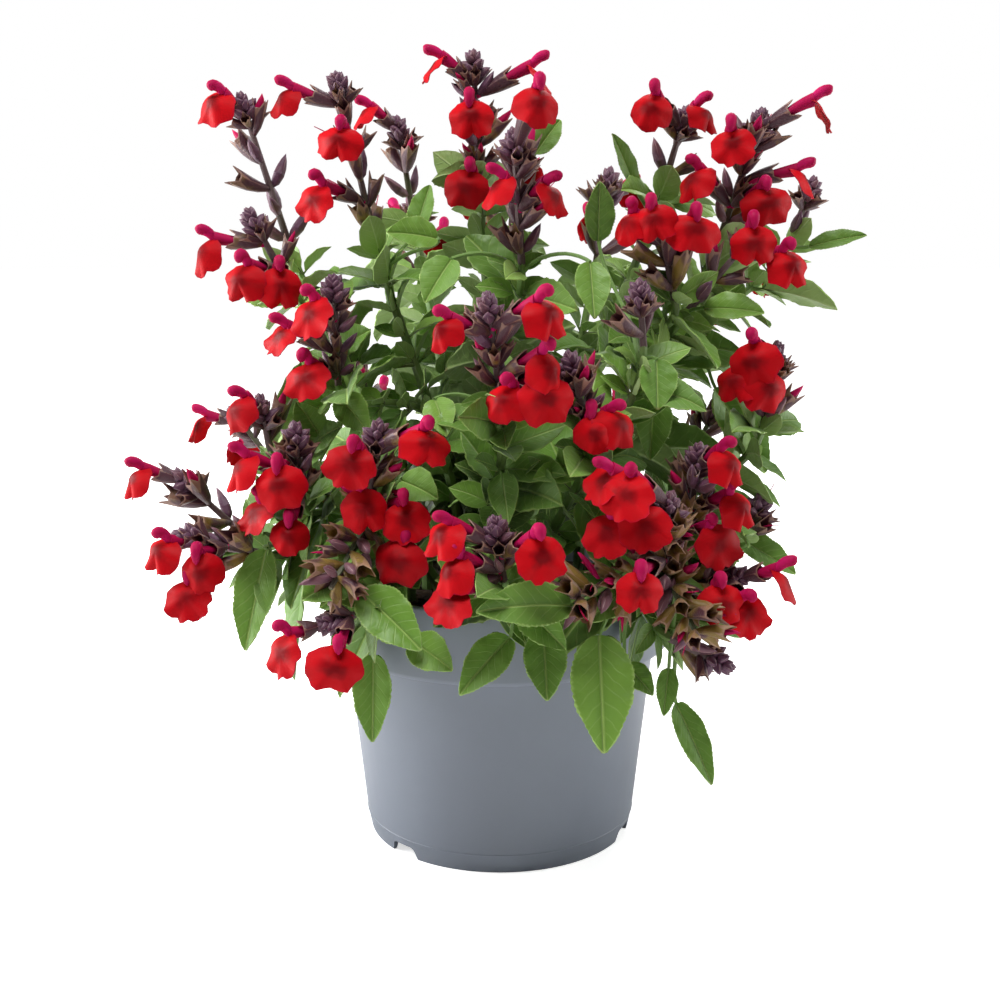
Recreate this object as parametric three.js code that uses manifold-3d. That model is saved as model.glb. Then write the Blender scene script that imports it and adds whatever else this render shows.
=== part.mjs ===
// Potted autumn sage: a plastic grower's pot, the potting soil in it, and the leafy stems that stand in the
// soil and carry the flower sprays. Millimetres, +Z up, origin on the floor under the pot's axis.
import * as THREE from 'three';
import { mergeVertices } from 'three/addons/utils/BufferGeometryUtils.js';
import Module from 'manifold-3d';

const wasm = await Module();
wasm.setup();

// Driving dimensions of the pot, a 12 cm grower's pot
const POT_HEIGHT = 94;
const RIM_RADIUS = 60.2;
const BAND_BOTTOM = 69.5;
const SHOULDER_RADIUS = 54.5;
const BASE_RADIUS = 46.6;
const SKIRT_HEIGHT = 6.4;
const FLOOR_TOP = 7.2;
const WALL = 1.5;
const POT_SIDES = 30;
const NOTCH_ANGLES = [-134.5, -22.5, 96];
const NOTCH_WIDTH = 15.5;
const NOTCH_HEIGHT = 4.2;
const NOTCH_TAPER = 3;
const NOTCH_DEPTH = 12;
const DRAIN_RADIUS = 3.5;
const DRAIN_CIRCLE = 30;

// Driving dimensions of the soil and of the stems that stand in it
const SOIL_LEVEL = 85;
const SOIL_CROWN = 2;
const GAP = 0.3;
const HOLE_DEPTH = 22;
const STEM_RADIUS = 1.8;
const TWIG_RADIUS = 1.2;
const STALK_RADIUS = 1.1;

// Driving dimensions of leaves, flowers and buds
const LEAF_SPACING = 30;
const FIRST_LEAF = 16;
const FIRST_BRANCH_LEAF = 11;
const LEAF_LENGTH = 39;
const LEAF_SLIMNESS = 0.5;
const PETIOLE_RADIUS = 0.8;
const ROOT_DEPTH = 0.8;
const LIGHT_SLOPE = 0.7;
const FRONT_SPREAD = 0.3;
const FRONT_LEAN = 40;
const MIDDLE_REACH = 33;
const LIP_HALF_WIDTH = 9.2;
const LIP_HALF_HEIGHT = 7.6;
const MOUTH_ABOVE = 6;
const MOUTH_BEHIND = 3.5;
const TUBE_RADIUS = 2.6;
const CALYX_RADIUS = 2.9;
const CALYX_LENGTH = 9;
const BUD_LENGTH = 6.5;
const FLOWER_RISE = 9;
const ROOT_SHARE = 0.8;
const FIRST_PAIR = 4;
const PAIR_SPACING = 12;
const HEAD_LENGTH = 11;

// The holes that the stems stand in, one for each leafy stem
const HOLES = [
  [-26, 4], [-13, -3], [-14, 17], [-31, -11], [-40, -1], [-20, -27], [0, 6], [-4, -17], [2, -32], [13, -20],
  [18, 8], [27, -4], [38, -11], [25, -28], [35, -24], [-27, 25], [-3, 30], [20, 25], [36, 12],
];

// The flower sprays. Each has the stem that carries it, the share of that stem's length where its branch
// forks off (0 for the stem's own top), its foot, its tip and its open flowers. A flower is the middle of its
// lower lip and its turn in degrees from facing -Y, the front, positive towards +X.
const SPRAYS = [
  [0, 0, [-72, 8, 204], [-87, 2, 256], [[-94, -2, 249, -42]]],
  [1, 0, [-42, 0, 206], [-54, -6, 262], [[-71, -6, 250, -55], [-51, -18, 237, -10], [-60, -14, 219, -35]]],
  [2, 0, [-32, 36, 219], [-37, 36, 251], [[-49, 31, 247, -70]]],
  [0, 0.55, [-70, -22, 196], [-81, -26, 218],
    [[-95, -24, 202, -50], [-81, -36, 194, -25], [-69, -36, 193, 15]]],
  [1, 0.45, [-52, -32, 162], [-52, -38, 198],
    [[-59, -48, 184, -30], [-70, -39, 175, -50], [-61, -46, 164, -25]]],
  [3, 0, [-74, -34, 141], [-77, -37, 160], [[-83, -43, 153, -45]]],
  [3, 0.5, [-62, -50, 128], [-63, -56, 154],
    [[-80, -61, 137, -50], [-67, -66, 135, 0], [-76, -61, 123, -45], [-64, -65, 118, 0]]],
  [4, 0, [-86, -34, 115], [-106, -36, 135], [[-118, -37, 129, -50]]],
  [4, 0.5, [-76, -48, 110], [-103, -54, 118],
    [[-105, -59, 110, -40], [-93, -63, 107, 0], [-97, -63, 98, -10]]],
  [5, 0, [-40, -58, 125], [-36, -64, 156],
    [[-43, -75, 142, -15], [-41, -73, 129, 15], [-21, -75, 147, 25], [-29, -69, 124, 5],
      [-29, -72, 113, -15]]],
  [5, 0.4, [-44, -73, 97], [-56, -77, 94], [[-65, -82, 87, -40], [-47, -89, 85, 5]]],
  [6, 0, [-7, 6, 227], [-9, 4, 270],
    [[-23, 3, 261, -75], [14, 3, 258, 75], [-10, -10, 246, 0], [-10, -9, 224, -10]]],
  [6, 0.45, [7, -22, 200], [4, -28, 243], [[12, -43, 247, 10], [17, -34, 219, 50], [-2, -32, 221, -60]]],
  [7, 0, [0, -62, 162], [-4, -70, 194],
    [[-17, -78, 180, -40], [13, -79, 185, 40], [14, -77, 170, 30], [13, -77, 163, 10], [2, -75, 160, -30]]],
  [8, 0, [1, -82, 110], [-2, -86, 131],
    [[-17, -88, 122, -50], [11, -97, 120, 20], [-14, -92, 113, -50], [-15, -93, 103, -45]]],
  [9, 0, [26, -58, 153], [20, -62, 176], [[27, -73, 151, 0], [35, -69, 152, 40]]],
  [9, 0.5, [44, -50, 176], [42, -52, 197], []],
  [10, 0, [56, 8, 226], [63, 4, 252], [[50, -10, 248, -15], [68, 0, 245, 50]]],
  [10, 0.5, [56, -28, 189], [49, -30, 218], [[39, -42, 210, -35], [46, -44, 212, -10], [60, -44, 209, 5]]],
  [11, 0, [74, -6, 210], [86, -10, 250],
    [[73, -23, 236, -10], [105, -11, 246, 85], [62, -17, 224, -50], [85, -22, 218, 10], [101, -9, 224, 70]]],
  [11, 0.5, [62, -18, 185], [84, -22, 212], [[79, -36, 206, 0], [91, -33, 198, 25]]],
  [11, 0.6, [100, 12, 206], [108, 10, 229], []],
  [12, 0, [87, -22, 147], [90, -26, 176], [[79, -39, 170, -25], [75, -35, 162, -40], [86, -38, 161, 15]]],
  [12, 0.45, [82, -26, 109], [87, -28, 127], []],
  [13, 0, [59, -52, 118], [61, -60, 148], [[68, -69, 140, 40], [72, -65, 126, 40], [66, -65, 116, 30]]],
  [13, 0.4, [50, -68, 111], [50, -76, 136],
    [[29, -83, 137, -60], [36, -88, 136, -30], [41, -86, 126, 0], [31, -84, 123, -25], [40, -95, 109, 0]]],
  [14, 0, [61, -48, 100], [78, -61, 106], [[66, -75, 100, 10], [75, -73, 95, 35], [88, -66, 103, 75]]],
  [14, 0.3, [53, -62, 86], [73, -66, 77], []],
  [15, 0, [-50, 72, 135], [-58, 86, 162], [[-64, 90, 148, 200], [-48, 98, 140, 170]]],
  [15, 0.5, [-84, 32, 125], [-102, 40, 146], [[-113, 40, 136, 260], [-100, 52, 126, 215]]],
  [16, 0, [-30, 60, 190], [-34, 70, 224], [[-42, 79, 212, 205], [-22, 82, 204, 170]]],
  [16, 0.4, [4, 50, 206], [6, 58, 242], [[10, 72, 230, 170], [-6, 68, 218, 215]]],
  [16, 0.3, [0, 76, 142], [-2, 86, 170], [[8, 97, 156, 165], [-13, 96, 148, 200]]],
  [17, 0, [36, 54, 198], [42, 62, 234], [[52, 72, 222, 145], [34, 76, 210, 190]]],
  [17, 0.35, [48, 68, 132], [58, 80, 160], [[66, 88, 148, 145], [48, 94, 138, 180]]],
  [18, 0, [72, 38, 172], [86, 44, 204], [[98, 52, 190, 120], [82, 60, 180, 165]]],
  [18, 0.45, [70, 36, 124], [84, 46, 148], [[94, 58, 138, 130]]],
];

// Large leaves that stand clear of the rest: the stem, the foot of the blade, its tip and its width
const LARGE_LEAVES = [
  [4, [-74, -50, 112], [-80, -60, 81], 14],
  [5, [-39, -68, 83], [-39, -76, 57], 12],
  [13, [21, -84, 103], [-7, -98, 105], 14],
  [8, [13, -76, 93], [14, -86, 74], 13],
  [8, [3, -80, 92], [-12, -92, 78], 12],
  [13, [30, -74, 91], [31, -88, 58], 19],
  [13, [39, -66, 79], [47, -72, 71], 8],
  [14, [56, -56, 63], [67, -66, 39], 10],
  [13, [53, -60, 76], [51, -66, 62], 7],
  [11, [73, -8, 158], [91, -12, 129], 20],
  [12, [80, -22, 109], [99, -28, 98], 11],
  [11, [104, -2, 205], [122, -8, 209], 7],
  [10, [46, 4, 224], [37, -4, 242], 8],
  [6, [12, 14, 236], [21, 18, 248], 9],
  [9, [32, -18, 207], [32, -22, 226], 10],
  [6, [28, -40, 201], [29, -50, 184], 11],
  [6, [-15, -40, 202], [-23, -50, 189], 12],
  [9, [48, -52, 172], [48, -58, 157], 12],
  [1, [-20, -22, 208], [-36, -30, 210], 12],
  [11, [66, -24, 186], [84, -34, 185], 11],
  [5, [-42, -73, 104], [-23, -84, 89], 15],
  [5, [-45, -66, 108], [-59, -78, 103], 15],
  [5, [-27, -74, 89], [-14, -84, 83], 12],
  [7, [-20, -54, 160], [-16, -64, 150], 10],
  [13, [60, -40, 114], [73, -48, 109], 15],
  [9, [50, -32, 159], [48, -38, 138], 12],
  [1, [-29, 8, 210], [-24, 12, 226], 9],
  [0, [-53, -20, 172], [-42, -26, 179], 11],
  [9, [19, -50, 137], [30, -58, 148], 12],
  [5, [-31, -50, 134], [-19, -60, 130], 12],
];

// Solids

const v = (x, y, z) => new THREE.Vector3(x, y, z);
const UP = v(0, 0, 1);
const radians = THREE.MathUtils.degToRad;
const headingOf = (from, to) => to.clone().sub(from).normalize();

// A closed three.js geometry as a solid for the boolean operations. One made inside out is turned.
function solidOf(geometry) {
  const bare = geometry.clone();
  bare.deleteAttribute('normal');
  bare.deleteAttribute('uv');
  const merged = mergeVertices(bare, 1e-3);
  const make = (triVerts) => new wasm.Manifold(new wasm.Mesh({
    numProp: 3,
    vertProperties: merged.attributes.position.array,
    triVerts,
  }));
  const solid = make(new Uint32Array(merged.index.array));
  return solid.volume() > 0 ? solid : make(new Uint32Array(merged.index.array).reverse());
}

// A named mesh of a finished solid.
function meshOf(name, solid, material) {
  const { vertProperties, triVerts } = solid.getMesh();
  const geometry = new THREE.BufferGeometry();
  geometry.setAttribute('position', new THREE.BufferAttribute(new Float32Array(vertProperties), 3));
  geometry.setIndex(new THREE.BufferAttribute(new Uint32Array(triVerts), 1));
  const faceted = geometry.toNonIndexed();
  faceted.computeVertexNormals();
  const mesh = new THREE.Mesh(faceted, material);
  mesh.name = name;
  return mesh;
}

// The indexed geometry of a list of points and a list of triangles.
function faceted(points, faces) {
  const geometry = new THREE.BufferGeometry().setFromPoints(points);
  geometry.setIndex(faces);
  return geometry;
}

// A closed skin over rings that have four points each, or one where it comes to a tip. The quads on the two
// sides of an outer edge are split alike, so that a thin blade's top and underside don't cross.
function skin(rings) {
  const points = rings.flat();
  const faces = [];
  let start = 0;
  for (let k = 0; k + 1 < rings.length; k += 1) {
    const [lower, upper] = [rings[k].length, rings[k + 1].length];
    const low = (i) => start + i % lower;
    const high = (i) => start + lower + i % upper;
    for (let i = 0; i < 4; i += 1) {
      const [outer, middle] = i % 2 ? [i + 1, i] : [i, i + 1];
      if (lower > 1) faces.push(low(i), low(i + 1), high(middle));
      if (upper > 1) faces.push(low(outer), high(i + 1), high(i));
    }
    start += lower;
  }
  if (rings[0].length > 1) faces.push(0, 2, 1, 0, 3, 2);
  if (rings.at(-1).length > 1) faces.push(start, start + 1, start + 2, start, start + 2, start + 3);
  return faceted(points, faces);
}

// A lathe about the Z axis from a profile of [radius, height] points.
function turned(profile) {
  const points = profile.map(([r, z]) => new THREE.Vector2(r, z));
  return new THREE.LatheGeometry(points, POT_SIDES).rotateX(Math.PI / 2);
}

// A seeded row of numbers from 0 to 1.
function draws(seed) {
  let state = (seed * 7919 + 12345) % 2147483647;
  const next = () => {
    state = (state * 16807) % 2147483647;
    return state / 2147483647;
  };
  next();
  next();
  return next;
}

// Pot: a thin wall with a band under the rim, and a raised floor on a notched skirt

function makePot() {
  const inner = (radius) => radius - WALL;
  const shell = solidOf(turned([
    [0, FLOOR_TOP - WALL], [inner(BASE_RADIUS), FLOOR_TOP - WALL], [inner(BASE_RADIUS), 0], [BASE_RADIUS, 0],
    [BASE_RADIUS + 1.3, SKIRT_HEIGHT], [SHOULDER_RADIUS, BAND_BOTTOM - 0.7], [RIM_RADIUS - 0.8, BAND_BOTTOM],
    [RIM_RADIUS - 0.2, BAND_BOTTOM + 1.2], [RIM_RADIUS, POT_HEIGHT - 0.8], [RIM_RADIUS - 0.7, POT_HEIGHT],
    [inner(RIM_RADIUS), POT_HEIGHT], [inner(RIM_RADIUS) - 0.2, BAND_BOTTOM + 2],
    [inner(SHOULDER_RADIUS), BAND_BOTTOM + 1], [inner(BASE_RADIUS) + 1.4, FLOOR_TOP], [0, FLOOR_TOP],
  ]));
  const half = NOTCH_WIDTH / 2;
  const notch = new THREE.Shape([
    new THREE.Vector2(-half, -1), new THREE.Vector2(half, -1),
    new THREE.Vector2(half - NOTCH_TAPER, NOTCH_HEIGHT), new THREE.Vector2(NOTCH_TAPER - half, NOTCH_HEIGHT),
  ]);
  const cuts = NOTCH_ANGLES.map((angle) => (
    new THREE.ExtrudeGeometry(notch, { depth: NOTCH_DEPTH, bevelEnabled: false })
      .rotateX(Math.PI / 2)
      .translate(0, NOTCH_DEPTH / 2 - BASE_RADIUS, 0)
      .rotateZ(radians(angle + 90))
  ));
  for (let angle = 45; angle < 360; angle += 90) {
    cuts.push(new THREE.CylinderGeometry(DRAIN_RADIUS, DRAIN_RADIUS, 4, 6)
      .rotateX(Math.PI / 2)
      .translate(DRAIN_CIRCLE, 0, FLOOR_TOP - WALL / 2)
      .rotateZ(radians(angle)));
  }
  return cuts.reduce((pot, cut) => pot.subtract(solidOf(cut)), shell);
}

// Routes: a row of stations, each with its place, its heading and one side of a square section, carried
// along without twist

function route(start, startHeading, end, endHeading, steps, side) {
  const reach = start.distanceTo(end);
  const curve = new THREE.CubicBezierCurve3(
    start,
    start.clone().addScaledVector(startHeading, reach * 0.4),
    end.clone().addScaledVector(endHeading, reach * -0.3),
    end,
  );
  const stations = [];
  let across = side;
  for (let k = 0; k <= steps; k += 1) {
    const heading = curve.getTangent(k / steps).normalize();
    across = across.clone().addScaledVector(heading, -across.dot(heading)).normalize();
    stations.push({ place: curve.getPoint(k / steps), heading, across });
  }
  return stations;
}

// The station at a share of a route's steps.
function stationAt(stations, share) {
  const at = share * (stations.length - 1);
  const k = Math.min(Math.floor(at), stations.length - 2);
  const mix = (key) => stations[k][key].clone().lerp(stations[k + 1][key], at - k);
  return { place: mix('place'), heading: mix('heading').normalize(), across: mix('across').normalize() };
}

// The four corners of a square section at a station.
function square({ place, heading, across }, radius) {
  const other = heading.clone().cross(across);
  return [[1, 0], [0, 1], [-1, 0], [0, -1]].map(([a, b]) => place.clone()
    .addScaledVector(across, a * radius).addScaledVector(other, b * radius));
}

// Stems: a stem stands upright in its hole and bows to the foot of its top spray. A branch forks off it.

const STEM_STEPS = 5;
const BRANCH_STEPS = 3;

const sprays = SPRAYS.map(([stem, fork, foot, tip, flowers]) => {
  const [from, to] = [v(...foot), v(...tip)];
  return { stem, fork, foot: from, tip: to, heading: headingOf(from, to), flowers };
});

const stems = HOLES.map(([x, y], index) => {
  const [top, ...rest] = sprays.filter((spray) => spray.stem === index);
  const main = route(v(x, y, SOIL_LEVEL + 3), UP, top.foot, top.heading, STEM_STEPS, v(1, 0, 0));
  const branches = rest.map((spray) => {
    const fork = stationAt(main, spray.fork);
    const heading = fork.heading.clone().add(headingOf(fork.place, spray.foot)).normalize();
    return route(fork.place, heading, spray.foot, spray.heading, BRANCH_STEPS, fork.across);
  });
  return { x, y, main, branches };
});

// The bare wood of a stem, as a trunk from the bottom of its hole and its branches.
function woodOf({ x, y, main, branches }) {
  const sunk = { place: v(x, y, SOIL_LEVEL - HOLE_DEPTH + GAP), heading: UP, across: v(1, 0, 0) };
  const slim = (share) => THREE.MathUtils.lerp(STEM_RADIUS, TWIG_RADIUS, share);
  const trunk = [
    square(sunk, STEM_RADIUS), ...main.map((station, k) => square(station, slim(k / STEM_STEPS))),
  ];
  const twigs = branches.map((stations) => stations.map((station) => square(station, TWIG_RADIUS)));
  return [trunk, ...twigs].map((rings) => solidOf(skin(rings)));
}

// Soil: it fills the pot to just under the rim, a little crowned, with a plain hole for each stem

function makeSoil() {
  const inner = (radius) => radius - WALL - GAP;
  const fill = solidOf(turned([
    [0, FLOOR_TOP + GAP], [inner(BASE_RADIUS) + 1.3, FLOOR_TOP + GAP],
    [inner(SHOULDER_RADIUS), BAND_BOTTOM + 1 + GAP], [inner(RIM_RADIUS) - 0.3, BAND_BOTTOM + 2 + GAP],
    [inner(RIM_RADIUS) - 0.1, SOIL_LEVEL - 2], [0, SOIL_LEVEL + SOIL_CROWN],
  ]));
  return HOLES.reduce((soil, [x, y]) => {
    const hole = STEM_RADIUS + GAP * 1.5;
    const ring = (z) => square({ place: v(x, y, z), heading: UP, across: v(1, 0, 0) }, hole);
    return soil.subtract(solidOf(skin([ring(SOIL_LEVEL - HOLE_DEPTH), ring(SOIL_LEVEL + 5)])));
  }, fill);
}

// Leaves: a thin folded blade on a slim petiole

// Sections of a blade: share of the length, share of the half width, how steeply the two halves fold up, and
// the thickness
const SMALL_LEAF = [[0.18, 0.2, 0, 1.8], [0.6, 1, 0.3, 1], [1, 0, 0, 0]];
const MIDDLE_LEAF = [[0.18, 0.2, 0, 1.8], [0.48, 1, 0.3, 1], [0.78, 0.72, 0.2, 1], [1, 0, 0, 0]];
const LARGE_LEAF = [
  [0.16, 0.66, 0.3, 1], [0.32, 0.92, 0.14, 1], [0.48, 1, 0.34, 1], [0.65, 0.88, 0.12, 1],
  [0.82, 0.6, 0.32, 1], [1, 0, 0, 0],
];

// The way across a blade that has its face up and towards a lit place out from the plant.
function acrossBlade(lit, aim, roll) {
  const light = v(lit.x, lit.y, 0).normalize().addScaledVector(UP, LIGHT_SLOPE);
  return light.cross(aim).normalize().applyAxisAngle(aim.clone().normalize(), radians(roll));
}

// The rings of a blade. Its midrib runs from the foot along aim and sags.
function blade(foot, aim, side, sag, halfWidth, sections) {
  return sections.map(([share, width, fold, thickness]) => {
    const middle = foot.clone().addScaledVector(aim, share).addScaledVector(UP, -sag * share * share);
    if (width === 0) return [middle];
    const run = aim.clone().addScaledVector(UP, -2 * sag * share).normalize();
    const face = run.clone().cross(side).normalize();
    const corner = (way) => middle.clone()
      .addScaledVector(side, way * width * halfWidth).addScaledVector(face, fold * width * halfWidth);
    return [
      corner(1), middle.clone().addScaledVector(face, thickness / 2),
      corner(-1), middle.clone().addScaledVector(face, -thickness / 2),
    ];
  });
}

// A leaf's root: a point just behind the middle of the stem, so that the petiole comes out of solid wood.
const rootPoint = (place, along) => place.clone().addScaledVector(along, -ROOT_DEPTH);

// A leaf that stands straight on its stem.
function leaf(station, along, reach, droop, roll) {
  const sections = reach > MIDDLE_REACH ? MIDDLE_LEAF : SMALL_LEAF;
  const aim = along.clone().multiplyScalar(reach);
  const side = acrossBlade(station.place, aim, roll);
  const rings = blade(station.place, aim, side, droop * reach, reach * LEAF_SLIMNESS / 2, sections);
  return solidOf(skin([[rootPoint(station.place, along)], ...rings]));
}

// A large leaf, with its face to the front. Its petiole leaves the stem at the nearest place, and turns
// halfway into the blade.
function largeLeaf(stem, [footPoint, tipPoint, width]) {
  const foot = v(...footPoint);
  const tip = v(...tipPoint);
  const sag = foot.distanceTo(tip) * 0.12;
  const aim = tip.clone().sub(foot).addScaledVector(UP, sag);
  const places = [stem.main, ...stem.branches].flatMap((stations) => (
    [0.2, 0.3, 0.4, 0.5, 0.6, 0.7, 0.8, 0.9].map((share) => stationAt(stations, share).place)
  ));
  const [start] = places.sort((one, other) => one.distanceTo(foot) - other.distanceTo(foot));
  const straight = headingOf(start, foot);
  const out = straight.clone().add(UP).normalize();
  const arrival = straight.add(aim.clone().normalize()).normalize();
  const side = acrossBlade(v(foot.x * FRONT_SPREAD, foot.y - FRONT_LEAN, 0), aim, 0);
  const petiole = route(start, out, foot, arrival, 2, side);
  return solidOf(skin([
    [rootPoint(start, out)], ...petiole.slice(1).map((station) => square(station, PETIOLE_RADIUS)),
    ...blade(foot, aim, side, sag, width / 2, LARGE_LEAF),
  ]));
}

// Flowers and buds

const faceOf = (turn) => v(Math.sin(radians(turn)), -Math.cos(radians(turn)), 0);
const mouthOf = ([x, y, z, turn]) => v(x, y, z + MOUTH_ABOVE).addScaledVector(faceOf(turn), -MOUTH_BEHIND);

// The share of a stalk where a flower leaves it, so that the flower leans up along the stalk.
function rootShare({ foot, tip, heading }, row) {
  const along = mouthOf(row).sub(foot).dot(heading) - FLOWER_RISE;
  return THREE.MathUtils.clamp(along / foot.distanceTo(tip), 0.06, 0.8);
}

// A flower: a bell-shaped calyx, a tube that ends in a hood, and a broad lip that hangs from its mouth.
function flower(spray, [x, y, z, turn]) {
  const lip = v(x, y, z);
  const face = faceOf(turn);
  const side = UP.clone().cross(face);
  const at = (a, b, c) => (
    lip.clone().addScaledVector(side, a).addScaledVector(UP, b).addScaledVector(face, c)
  );
  const mouth = mouthOf([x, y, z, turn]);
  const root = spray.foot.clone().lerp(spray.tip, rootShare(spray, [x, y, z, turn]));
  const heading = headingOf(root, mouth);
  const across = side.clone().addScaledVector(heading, -side.dot(heading)).normalize();
  const ring = (share, radius) => square({ place: root.clone().lerp(mouth, share), heading, across }, radius);
  const throat = [[TUBE_RADIUS, 0], [0, TUBE_RADIUS], [-TUBE_RADIUS, 0], [0, -TUBE_RADIUS]]
    .map(([a, b]) => at(a, MOUTH_ABOVE + b, -MOUTH_BEHIND));
  const lobe = [[1, 0, -1.8], [0.6, -0.95, -0.3]];
  const edge = [
    ...lobe.map(([a, b, c]) => [-a, b, c]), [0, -0.75, 1], ...lobe.toReversed(),
  ].map(([a, b, c]) => at(a * LIP_HALF_WIDTH, b * LIP_HALF_HEIGHT, c));
  const points = [
    ...ring(0.55, CALYX_RADIUS), ...throat, at(0, 10, 2.5), at(0, 1.5, 3), ...edge, rootPoint(root, heading),
  ];
  const [right, top, left, bottom, hood, middle, first] = [4, 5, 6, 7, 8, 9, 10];
  const faces = [];
  for (let i = 0; i < 4; i += 1) {
    const j = (i + 1) % 4;
    faces.push(i, j, 4 + j, i, 4 + j, 4 + i, points.length - 1, j, i);
  }
  faces.push(right, top, hood, top, left, hood, left, middle, hood, middle, right, hood);
  const rim = [left, ...edge.map((_, k) => first + k), right];
  for (let k = 0; k + 1 < rim.length; k += 1) {
    faces.push(middle, rim[k], rim[k + 1], bottom, rim[k + 1], rim[k]);
  }
  return solidOf(faceted(points, faces));
}

// The stalk of a spray: pairs of calyces along it, each pair crosswise to the last, and a head of buds.
function stalk({ foot, tip, heading, flowers }, index) {
  const length = foot.distanceTo(tip);
  const across = heading.clone().cross(v(0, 1, 0.2)).normalize()
    .applyAxisAngle(heading, draws(500 + index)() * Math.PI / 2);
  const at = (d) => foot.clone().addScaledVector(heading, d);
  const ring = (d, radius) => square({ place: at(d), heading, across }, radius);
  const pair = (d, reach, k) => {
    const spread = ring(d + reach * 0.3, STALK_RADIUS * 1.3);
    const points = ring(d + reach * 0.75, reach * 0.8);
    for (const corner of [k % 2, k % 2 + 2]) spread[corner] = points[corner];
    return [ring(d, STALK_RADIUS), spread, ring(d + reach * 0.45, STALK_RADIUS)];
  };
  const rings = [ring(GAP + 0.05, STALK_RADIUS)];
  const roots = flowers.map((row) => rootShare({ foot, tip, heading }, row) * length);
  const widest = CALYX_LENGTH * 0.75;
  for (let k = 0; FIRST_PAIR + k * PAIR_SPACING + widest < length - HEAD_LENGTH; k += 1) {
    const d = FIRST_PAIR + k * PAIR_SPACING;
    if (roots.every((root) => Math.abs(root - d) > 5)) rings.push(...pair(d, CALYX_LENGTH, k));
  }
  rings.push(ring(length - HEAD_LENGTH, STALK_RADIUS), ring(length - BUD_LENGTH * 0.7, BUD_LENGTH * 0.75));
  return solidOf(skin([...rings, ring(length - BUD_LENGTH * 0.8, 1.8), [tip]]));
}

// Clearance: a leaf is kept clear of what the other nodes hold, by bending it, or left out

const placed = [];

function boxOf(solid) {
  const { min, max } = solid.boundingBox();
  return new THREE.Box3(v(...min), v(...max)).expandByScalar(GAP);
}

function keep(node, solid) {
  placed.push({ node, solid, box: boxOf(solid) });
}

// Pieces of one node may share their roots but not cross further out.
function isClear(node, solid) {
  const box = boxOf(solid);
  return placed.every((other) => {
    if (!other.box.intersectsBox(box)) return true;
    if (other.node === node) return solid.intersect(other.solid).volume() < ROOT_SHARE;
    return solid.minGap(other.solid, GAP * 2) > GAP;
  });
}

// Ways to bend a leaf: turn about the stem, tilt away from it, and share of its length
const BENDS = [
  [0, 0, 1], [25, 0, 1], [-25, 0, 1], [0, -20, 1], [0, 18, 1], [50, 0, 0.9], [-50, 0, 0.9],
  [20, -20, 0.8], [-20, 18, 0.8], [0, 0, 0.65], [35, -10, 0.65], [-35, -10, 0.65],
];

// Opposite pairs of leaves along a route, each pair crosswise to the last, shorter towards the top.
function leavesAlong(node, stations, seed, first) {
  const leaves = [];
  const length = stations.reduce((sum, s, k) => sum + (k ? s.place.distanceTo(stations[k - 1].place) : 0), 0);
  const pairs = Math.floor((length - first - 3) / LEAF_SPACING) + 1;
  for (let k = 0; k < pairs; k += 1) {
    const share = (first + k * LEAF_SPACING) / length;
    const station = stationAt(stations, share);
    const { heading, across } = station;
    for (const way of [0, 1]) {
      const next = draws(seed * 100 + k * 2 + way);
      const reach = LEAF_LENGTH * (1 - 0.35 * share) * (0.8 + 0.4 * next());
      const turn = k * 90 + way * 180 + 30 + 30 * next();
      const tilt = 40 + 40 * next();
      const droop = 0.1 + 0.5 * next();
      const roll = 60 * next() - 30;
      for (const [bendTurn, bendTilt, grow] of BENDS) {
        const out = across.clone().applyAxisAngle(heading, radians(turn + bendTurn));
        const lean = radians(tilt + bendTilt);
        const along = heading.clone().multiplyScalar(Math.cos(lean)).addScaledVector(out, Math.sin(lean));
        const solid = leaf(station, along, reach * grow, droop, roll);
        if (isClear(node, solid)) {
          keep(node, solid);
          leaves.push(solid);
          break;
        }
      }
    }
  }
  return leaves;
}

// Assembly

const plastic = new THREE.MeshStandardMaterial({ color: 0x737b88, roughness: 0.5, metalness: 0 });
const compost = new THREE.MeshStandardMaterial({ color: 0x3a2a20, roughness: 1, metalness: 0 });
const green = new THREE.MeshStandardMaterial({ color: 0x57863a, roughness: 0.6, metalness: 0 });
const red = new THREE.MeshStandardMaterial({ color: 0xc41722, roughness: 0.6, metalness: 0 });
const numbered = (name, k) => name + '_' + String(k + 1).padStart(2, '0');

const pot = makePot();
const soil = makeSoil();
const sprayParts = sprays.map((spray, k) => (
  [stalk(spray, k), ...spray.flowers.map((row) => flower(spray, row))]
));
const stemParts = stems.map((stem, k) => [
  ...woodOf(stem), ...LARGE_LEAVES.filter(([owner]) => owner === k).map(([, ...row]) => largeLeaf(stem, row)),
]);

keep('pot', pot);
keep('soil', soil);
sprayParts.forEach((solids, k) => solids.forEach((solid) => keep(numbered('flower_spray', k), solid)));
stemParts.forEach((solids, k) => solids.forEach((solid) => keep(numbered('leafy_stem', k), solid)));
stems.forEach(({ main, branches }, k) => {
  const node = numbered('leafy_stem', k);
  stemParts[k].push(...leavesAlong(node, main, 5 * k, FIRST_LEAF));
  branches.forEach((branch, b) => {
    stemParts[k].push(...leavesAlong(node, branch, 5 * k + b + 1, FIRST_BRANCH_LEAF));
  });
});

const fuse = (solids) => wasm.Manifold.union(solids).simplify(0.02);
const plant = new THREE.Group();
plant.add(meshOf('pot', pot, plastic), meshOf('soil', soil, compost));
stemParts.forEach((solids, k) => plant.add(meshOf(numbered('leafy_stem', k), fuse(solids), green)));
sprayParts.forEach((solids, k) => plant.add(meshOf(numbered('flower_spray', k), fuse(solids), red)));

export default plant;
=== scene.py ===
"""Potted autumn sage: a grey plastic grower's pot of compost, leafy stems, and sprays of red flowers.

Places are in millimetres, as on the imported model, and become metres where a mesh is made.
"""
import math
import random
from contextlib import contextmanager

import bpy
import numpy as np
from mathutils import Matrix, Vector, kdtree, noise


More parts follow.
